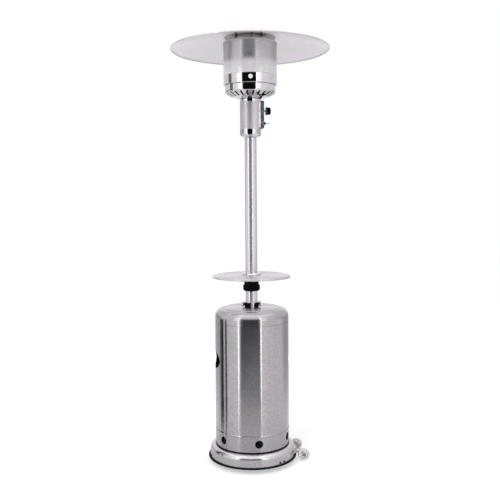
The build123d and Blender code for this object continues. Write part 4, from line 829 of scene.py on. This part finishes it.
@dataclass
class ControlHousing(SubAssembly):
    """Control housing with its panel, gas valve and igniter.

    Attributes:
        tick_count: number of marks on the scale round the knob.
        tick_radius: radius at which the marks start.
        tick_short: length of the first mark.
        tick_long: length of the last mark.
        tick_width: width of a mark.
        tick_rise: thickness of the print.
    """

    tick_count: int = 9
    tick_radius: float = 24.5 * MM
    tick_short: float = 1.5 * MM
    tick_long: float = 5.5 * MM
    tick_width: float = 1.2 * MM
    tick_rise: float = 0.15 * MM

    FINISHES: ClassVar[Finishes] = {
        POLISHED: ["control_bottom_cap", "control_top_band"],
        FRAME_STEEL: ["panel_frame"],
        SATIN: ["control_body"],
        SLATE: ["control_panel"],
        KNOB_PLASTIC: ["control_knob"],
        BLACK_PLASTIC: ["igniter_body", "igniter_nut", "tilt_switch"],
        ZINC: ["panel_screws", "igniter_button", "knob_spindle"],
        AGED_BRASS: ["gas_valve_body", "valve_plug"],
        BRASS: ["valve_inlet_fitting"],
    }
    SWEEP: ClassVar[float] = 180.0
    SINK: ClassVar[float] = 0.1 * MM

    def build(self) -> None:
        """Adds the printed heat scale round the knob: marks that grow longer."""
        low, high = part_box("control_knob")
        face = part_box("control_panel")[1].x
        centre = (low + high) / 2
        centre.x = face
        add_piece(
            "panel_scale", PANEL_PRINT, Body.STAND,
            lambda work: self.print_scale(work, centre))

    def print_scale(self, work: Work, centre: Vector) -> None:
        """Fills a bmesh with the scale's marks.

        Args:
            work: the bmesh to fill.
            centre: where the knob's axis meets the panel's face.
        """
        for number in range(self.tick_count):
            share = number / (self.tick_count - 1)
            turn = radians(self.SWEEP * share)
            out = Vector((0.0, cos(turn), sin(turn)))
            side = Vector((0.0, -sin(turn), cos(turn))) * (self.tick_width / 2)
            length = self.tick_short + (self.tick_long - self.tick_short) * share
            start = centre + out * self.tick_radius
            end = centre + out * (self.tick_radius + length)
            under, over = (
                [work.verts.new(spot + Vector((rise, 0.0, 0.0)))
                 for spot in (start - side, end - side, end + side, start + side)]
                for rise in (-self.SINK, self.tick_rise)
            )
            work.faces.new(under)
            work.faces.new(over)
            bridge(work, under, over, closed=True)


@dataclass
class BurnerHead(SubAssembly):
    """Slotted burner bowl with the burner and its pilot group."""

    FINISHES: ClassVar[Finishes] = {
        BOWL_STEEL: ["burner_bowl"],
        ZINC: ["burner_head", "head_screws", "pilot_burner"],
        BRASS: ["gas_riser", "main_orifice", "pilot_tube", "thermocouple", "igniter_electrode"],
    }


@dataclass
class EmitterHead(SubAssembly):
    """Emitter with its perforated screen.

    Attributes:
        pitch: distance between holes round the screen.
        hole: diameter of a hole.
        wall: thickness of the sheet.
        border: plain strip at the top and the bottom.
    """

    pitch: float = 8.0 * MM
    hole: float = 3.4 * MM
    wall: float = 0.8 * MM
    border: float = 5.0 * MM

    FINISHES: ClassVar[Finishes] = {
        BOWL_STEEL: ["emitter_band"],
        CAP_STEEL: ["emitter_top_cap"],
        CERAMIC: ["light_hole_plug"],
    }
    CORNERS: ClassVar[tuple[tuple[int, int], ...]] = (
        (0, 0), (1, 0), (2, 0), (2, 1), (2, 2), (1, 2), (0, 2), (0, 1))
    FIRST_CORNER: ClassVar[float] = -135.0
    STAGGER: ClassVar[float] = 60.0

    def build(self) -> None:
        """Adds the perforated screen in place of the plain tube."""
        low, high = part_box("emitter_screen")
        piece = add_piece(
            "emitter_screen_perforated", SCREEN, Body.STAND,
            lambda work: self.perforate(work, high.x, low.z, high.z))
        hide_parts("emitter_screen")

    def perforate(self, work: Work, radius: float, low: float, high: float) -> None:
        """Fills a bmesh with staggered cells round a tube, each with a hole.

        Args:
            work: the bmesh to fill.
            radius: outer radius of the tube.
            low: height of its lower edge.
            high: height of its upper edge.
        """
        columns = round(2 * pi * radius / self.pitch)
        first = low + self.border
        height = high - low - 2 * self.border
        rows = 2 * round(height / self.pitch / sin(radians(self.STAGGER)) / 2)
        row = height / rows
        turn = 2 * pi / columns
        shared: dict[tuple[int, int], Point] = {}

        def point(across: float, up: float) -> Point:
            """Adds a point of the tube, by columns across and height."""
            angle = across * turn
            return work.verts.new((radius * cos(angle), radius * sin(angle), up))

        def corner(across: int, up: int) -> Point:
            """Gives a point of the half-cell grid, shared between cells."""
            key = (across % (2 * columns), up)
            if key not in shared:
                shared[key] = point(key[0] / 2, first + up * row / 2)
            return shared[key]

        reach = self.hole / 2
        angles = [radians(self.FIRST_CORNER) + angle for angle in round_turn(len(self.CORNERS))]
        for line in range(rows):
            for column in range(columns):
                left = 2 * column + line % 2
                rim = [corner(left + across, 2 * line + up) for across, up in self.CORNERS]
                centre = left / 2 + HALF
                middle = first + (line + HALF) * row
                mouth = [
                    point(centre + reach * cos(angle) / self.pitch, middle + reach * sin(angle))
                    for angle in angles
                ]
                bridge(work, rim, mouth, closed=True)
        for edge_row, edge_z in ((0, low), (2 * rows, high)):
            ends = [point(step / 2, edge_z) for step in range(2 * columns)]
            edge = [corner(step, edge_row) for step in range(2 * columns)]
            bridge(work, edge, ends, closed=True)
        bmesh.ops.recalc_face_normals(work, faces=work.faces)
        bmesh.ops.solidify(work, geom=work.faces[:], thickness=self.wall)


@dataclass
class Reflector(SubAssembly):
    """Reflector dish on its studs."""

    FINISHES: ClassVar[Finishes] = {
        DISH: ["reflector"],
        ZINC: ["reflector_studs", "stud_spacers", "reflector_nuts"],
    }


@dataclass(frozen=True)
class Flag:
    """A far dark or bright part of the surroundings or the floor, as metal sees it.

    Attributes:
        centre: azimuth in degrees, from the front towards +X.
        half: half of its width in degrees.
        soft: softness of its upright edges in degrees.
        light: brightness that it shows, where the plain surroundings show 1.
        high: elevation of its upper edge in degrees.
        fade: softness of its upper edge in degrees.
    """

    centre: float
    half: float
    soft: float
    light: float
    high: float = 0.0
    fade: float = 0.0

    def across(self, sheet: Sheet, x: Socket, y: Socket) -> Socket:
        """Makes the flag's mask by azimuth.

        Args:
            sheet: the nodes to add to.
            x: the direction's part along X.
            y: the direction's part along Y.

        Returns:
            A mask from 0 outside the flag to 1 inside.
        """
        azimuth = sheet.math("DEGREES", sheet.math("ARCTAN2", x, sheet.times(y, -1.0)))
        turned = sheet.math("WRAP", sheet.math("SUBTRACT", azimuth, self.centre), 180.0, -180.0)
        apart = sheet.math("ABSOLUTE", turned)
        return sheet.spread(apart, self.half - self.soft, self.half + self.soft, 1.0, 0.0)


@dataclass(frozen=True)
class Card:
    """An upright studio card close to the heater, which only metal sees.

    Attributes:
        centre: azimuth in degrees, from the front towards +X.
        half: half of its width in degrees.
        radius: distance from the post's axis.
        low: height of its lower edge.
        high: height of its upper edge.
        light: brightness that it shows.
    """

    centre: float
    half: float
    radius: float
    low: float
    high: float
    light: float


@dataclass
class Studio:
    """Plain pale studio: floor, soft lamp, and the cards that metal reflects.

    Attributes:
        flags: far dark and bright parts of the surroundings.
        cards: upright cards close by.
        soft_level: light of the surroundings on matt surfaces.
        lamp_power: power of the soft lamp, in watts.
        lamp_size: width of the soft lamp.
        floor_size: width of the floor.
        paper_near: radius at which the white paper starts to darken under a flag.
        paper_far: radius from which the floor under a flag is as dark as the flag.
        shade_lift: how far the object's shadow on the floor is lit up.
        zenith: light straight above, where 1 is the light at the horizon.
        disc_light: light of the disc under the table.
        foot_level: light of the floor close to the base, as metal sees it.
    """

    flags: tuple[Flag, ...] = (
        Flag(-56.0, 12.0, 6.0, 1.5, 40.0, 20.0),
        Flag(28.0, 10.0, 6.0, 1.5, 40.0, 20.0),
        Flag(-13.5, 31.5, 1.2, 0.004, 20.0, 6.0),
        Flag(112.0, 42.0, 24.0, 0.84, 50.0, 20.0),
        Flag(105.0, 42.0, 24.0, 0.55, 7.6, 0.8),
        Flag(-140.0, 18.0, 8.0, 0.85, 50.0, 20.0),
        Flag(-140.0, 20.0, 8.0, 0.42, 7.6, 0.8),
    )
    cards: tuple[Card, ...] = (
        Card(-104.5, 8.0, 0.75, 0.0, 0.74, 0.03),
        Card(-87.5, 3.6, 0.75, 0.0, 0.74, 0.02),
        Card(-97.5, 9.5, 0.75, 1.6, 2.6, 0.2),
        Card(-48.7, 1.7, 1.4, 0.0, 2.4, 3.0),
        Card(16.5, 1.7, 1.4, 0.0, 2.4, 3.0),
    )
    soft_level: float = 0.95
    lamp_power: float = 90.0
    lamp_size: float = 3.0
    floor_size: float = 40.0
    paper_near: float = 0.42
    paper_far: float = 2.5
    shade_lift: float = 0.45
    zenith: float = 1.5
    disc_light: float = 1.05
    foot_level: float = 0.66

    PAPER: ClassVar[Tone] = (0.96, 0.96, 0.96, 1.0)
    PAPER_SEEN: ClassVar[Tone] = (1.08, 1.08, 1.08, 1.0)
    PAPER_ROUGH: ClassVar[float] = 0.9
    FLOOR_FLAGS: ClassVar[tuple[Flag, ...]] = (
        Flag(-13.5, 31.5, 5.0, 0.05),
        Flag(126.0, 26.0, 14.0, 0.52),
        Flag(-138.0, 22.0, 12.0, 0.6),
    )
    FOOT_SHADE: ClassVar[Band] = (0.36, 0.8)
    ZENITH_BAND: ClassVar[Band] = (35.0, 60.0)
    COOL_BAND: ClassVar[Band] = (1.3, 2.4)
    COOL_BELOW: ClassVar[float] = 0.1
    COOL: ClassVar[Tone] = (0.72, 1.0, 1.16, 1.0)
    LAMP_AT: ClassVar[Vector] = Vector((-2.2, -2.6, 4.2))
    LAMP_AIM: ClassVar[Vector] = UP
    CARD_STEPS: ClassVar[int] = 8
    DISC_STEPS: ClassVar[int] = 32
    DISC_DROP: ClassVar[float] = 6.0 * MM
    DISC_SHARE: ClassVar[float] = 0.945

    def build(self) -> None:
        """Builds the world, the floor, the cards, the disc and the lamp."""
        self.surround()
        self.lay_floor()
        for number, card in enumerate(self.cards, 1):
            self.stand_card(f"card_{number}", card)
        self.hang_disc()
        self.hang_lamp()

    def mirrored(self, sheet: Sheet, path: Node) -> Socket:
        """Tells the rays that come from metal, by a Light Path node."""
        rays = path.outputs
        return sheet.math("MAXIMUM", rays["Is Glossy Ray"], rays["Is Transmission Ray"])

    def surround(self) -> None:
        """Builds the world: white to the camera, and with flags to polished metal."""
        world = bpy.data.worlds.new("studio")
        bpy.context.scene.world = world
        world.use_nodes = True
        sheet = Sheet(world.node_tree)
        x, y, z = sheet.split(sheet.add("ShaderNodeTexCoord").outputs["Generated"])
        elevation = sheet.math("DEGREES", sheet.math("ARCSINE", z))
        shown = sheet.spread(elevation, *self.ZENITH_BAND, 1.0, self.zenith)
        for flag in self.flags:
            edge = (flag.high - flag.fade, flag.high + flag.fade)
            below = sheet.spread(elevation, *edge, 1.0, 0.0)
            mask = sheet.times(flag.across(sheet, x, y), below)
            shown = sheet.over(mask, shown, flag.light)
        path = sheet.add("ShaderNodeLightPath")
        seen = path.outputs["Is Camera Ray"]
        level = sheet.math("MULTIPLY_ADD", seen, 1.0 - self.soft_level, self.soft_level)
        apart = sheet.math("SUBTRACT", shown, level)
        total = sheet.math("MULTIPLY_ADD", self.mirrored(sheet, path), apart, level)
        background = world.node_tree.nodes["Background"]
        sheet.wire(background, {"Color": WHITE, "Strength": total})

    def lay_floor(self) -> None:
        """Lays the white paper floor, which keeps the object's shadow."""
        half = self.floor_size / 2
        mesh = bpy.data.meshes.new("floor")
        corners = [(-half, -half, 0), (half, -half, 0), (half, half, 0), (-half, half, 0)]
        mesh.from_pydata(corners, [], [(0, 1, 2, 3)])
        floor = add_object("floor", mesh)
        material = bpy.data.materials.new("floor_paper")
        material.use_nodes = True
        tree = material.node_tree
        sheet = Sheet(tree)
        shader = tree.nodes["Principled BSDF"]
        path = sheet.add("ShaderNodeLightPath")
        seen = path.outputs["Is Camera Ray"]
        colour = sheet.mix(seen, self.PAPER, self.PAPER_SEEN)
        sheet.wire(shader, {
            "Base Color": colour, "Roughness": self.PAPER_ROUGH, "Specular IOR Level": 0.0})
        surface = shader
        for share, other in (
            (sheet.times(seen, self.shade_lift), sheet.add("ShaderNodeEmission")),
            (self.mirrored(sheet, path), self.glow_paper(sheet)),
        ):
            both = sheet.add("ShaderNodeMixShader")
            for source, target in zip((share, surface.outputs[0], other.outputs[0]), both.inputs):
                sheet.join(source, target)
            surface = both
        sheet.join(surface.outputs[0], tree.nodes["Material Output"].inputs["Surface"])
        mesh.materials.append(material)

    def glow_paper(self, sheet: Sheet) -> Node:
        """Makes the floor that metal sees: dim at the foot, dark under the floor's flags."""
        x, y, _ = sheet.split(sheet.object_point())
        radius = sheet.from_axis(x, y)
        front = self.FLOOR_FLAGS[0].across(sheet, x, y)
        cool = sheet.times(sheet.spread(radius, *self.COOL_BAND), front)
        colour = sheet.mix(cool, WHITE, self.COOL)
        far = sheet.spread(radius, self.paper_near, self.paper_far)
        shown = sheet.spread(radius, *self.FOOT_SHADE, self.foot_level, self.PAPER[0])
        for flag in self.FLOOR_FLAGS:
            mask = sheet.times(far, flag.across(sheet, x, y))
            shown = sheet.over(mask, shown, flag.light)
        glow = sheet.add("ShaderNodeEmission")
        return sheet.wire(glow, {"Color": colour, "Strength": shown})

    def stand_card(self, name: str, card: Card) -> None:
        """Sets up one card, seen by metal alone."""
        points = []
        for turn in arc(card.centre, card.half, self.CARD_STEPS):
            foot = (card.radius * sin(turn), -card.radius * cos(turn))
            points += [(*foot, card.low), (*foot, card.high)]
        faces = [(2 * i, 2 * i + 2, 2 * i + 3, 2 * i + 1) for i in range(self.CARD_STEPS)]
        self.glow_sheet(name, points, faces, card.light)

    def hang_disc(self) -> None:
        """Hangs a white disc under the table, which lights up the roof of the housing."""
        low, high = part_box("table_top")
        radius = high.x * self.DISC_SHARE
        drop = low.z - self.DISC_DROP
        turns = round_turn(self.DISC_STEPS)
        points = [(radius * cos(turn), radius * sin(turn), drop) for turn in turns]
        self.glow_sheet("table_disc", points, [tuple(range(self.DISC_STEPS))], self.disc_light)

    def glow_sheet(
        self, name: str, points: Sequence[Spot], faces: Sequence[tuple[int, ...]], light: float
    ) -> None:
        """Adds a sheet that only metal sees.

        Args:
            name: the sheet's name.
            points: its corners.
            faces: its faces, as numbers of corners.
            light: its brightness, where 1 is white.
        """
        mesh = bpy.data.meshes.new(name)
        mesh.from_pydata(points, [], faces)
        holder = add_object(name, mesh)
        material = bpy.data.materials.new(name)
        material.use_nodes = True
        tree = material.node_tree
        sheet = Sheet(tree)
        colour = self.COOL if light < self.COOL_BELOW else WHITE
        glow = sheet.wire(sheet.add("ShaderNodeEmission"), {"Color": colour, "Strength": light})
        sheet.join(glow.outputs[0], tree.nodes["Material Output"].inputs["Surface"])
        mesh.materials.append(material)
        for kind in ("camera", "diffuse", "shadow", "transmission"):
            setattr(holder, f"visible_{kind}", False)

    def hang_lamp(self) -> None:
        """Hangs one large soft lamp above the camera's left."""
        lamp = bpy.data.lights.new("soft_lamp", "AREA")
        lamp.size = self.lamp_size
        lamp.energy = self.lamp_power
        holder = add_object("soft_lamp", lamp)
        turn = (self.LAMP_AIM - self.LAMP_AT).to_track_quat("-Z", "Y")
        holder.matrix_world = Matrix.Translation(self.LAMP_AT) @ turn.to_matrix().to_4x4()
        holder.visible_glossy = False


@dataclass
class PhotoCamera:
    """Camera where the photograph was taken from.

    Attributes:
        azimuth: degrees from the front towards +X.
        distance: level distance from the post's axis.
        height: height above the floor.
        pitch: degrees that it looks down.
        aside: pixels by which the post's axis lies right of the image's centre.
        roll: degrees that the image turns clockwise.
        focal_px: focal length in pixels of the image.
    """

    azimuth: float = -10.0
    distance: float = 3.5974
    height: float = 1.363
    pitch: float = 4.062
    aside: float = 1.27
    roll: float = -0.39
    focal_px: float = 692.96

    def build(self) -> None:
        """Adds the camera and makes it the scene's own."""
        lens = bpy.data.cameras.new("camera")
        lens.sensor_fit = "HORIZONTAL"
        lens.sensor_width = SENSOR_MM
        lens.lens = self.focal_px / IMAGE_PX * SENSOR_MM
        holder = add_object("camera", lens)
        turn = radians(self.azimuth)
        place = Vector((self.distance * sin(turn), -self.distance * cos(turn), self.height))
        heading = turn + atan(self.aside / self.focal_px)
        level = Vector((-sin(heading), cos(heading), 0.0))
        down = radians(self.pitch)
        forward = level * cos(down) - UP * sin(down)
        right = forward.cross(UP).normalized()
        up = right.cross(forward)
        lean = radians(self.roll)
        right, up = right * cos(lean) + up * sin(lean), up * cos(lean) - right * sin(lean)
        axes = Matrix((right, up, -forward)).transposed().to_4x4()
        holder.matrix_world = Matrix.Translation(place) @ axes
        bpy.context.scene.camera = holder


def main() -> None:
    """Builds and dresses the heater, then its studio and camera."""
    logging.basicConfig(level=logging.INFO, format="%(name)s: %(message)s")
    assemblies: Iterable[SubAssembly] = (
        WheeledBase(), TankHousing(), PostAndTable(), ControlHousing(), BurnerHead(),
        EmitterHead(), Reflector())
    for assembly in assemblies:
        assembly.build()
        assembly.dress()
        LOG.info("%s is dressed", type(assembly).__name__)
    Studio().build()
    PhotoCamera().build()
    bpy.context.scene.view_settings.view_transform = "Standard"


if __name__ == "__main__":
    main()
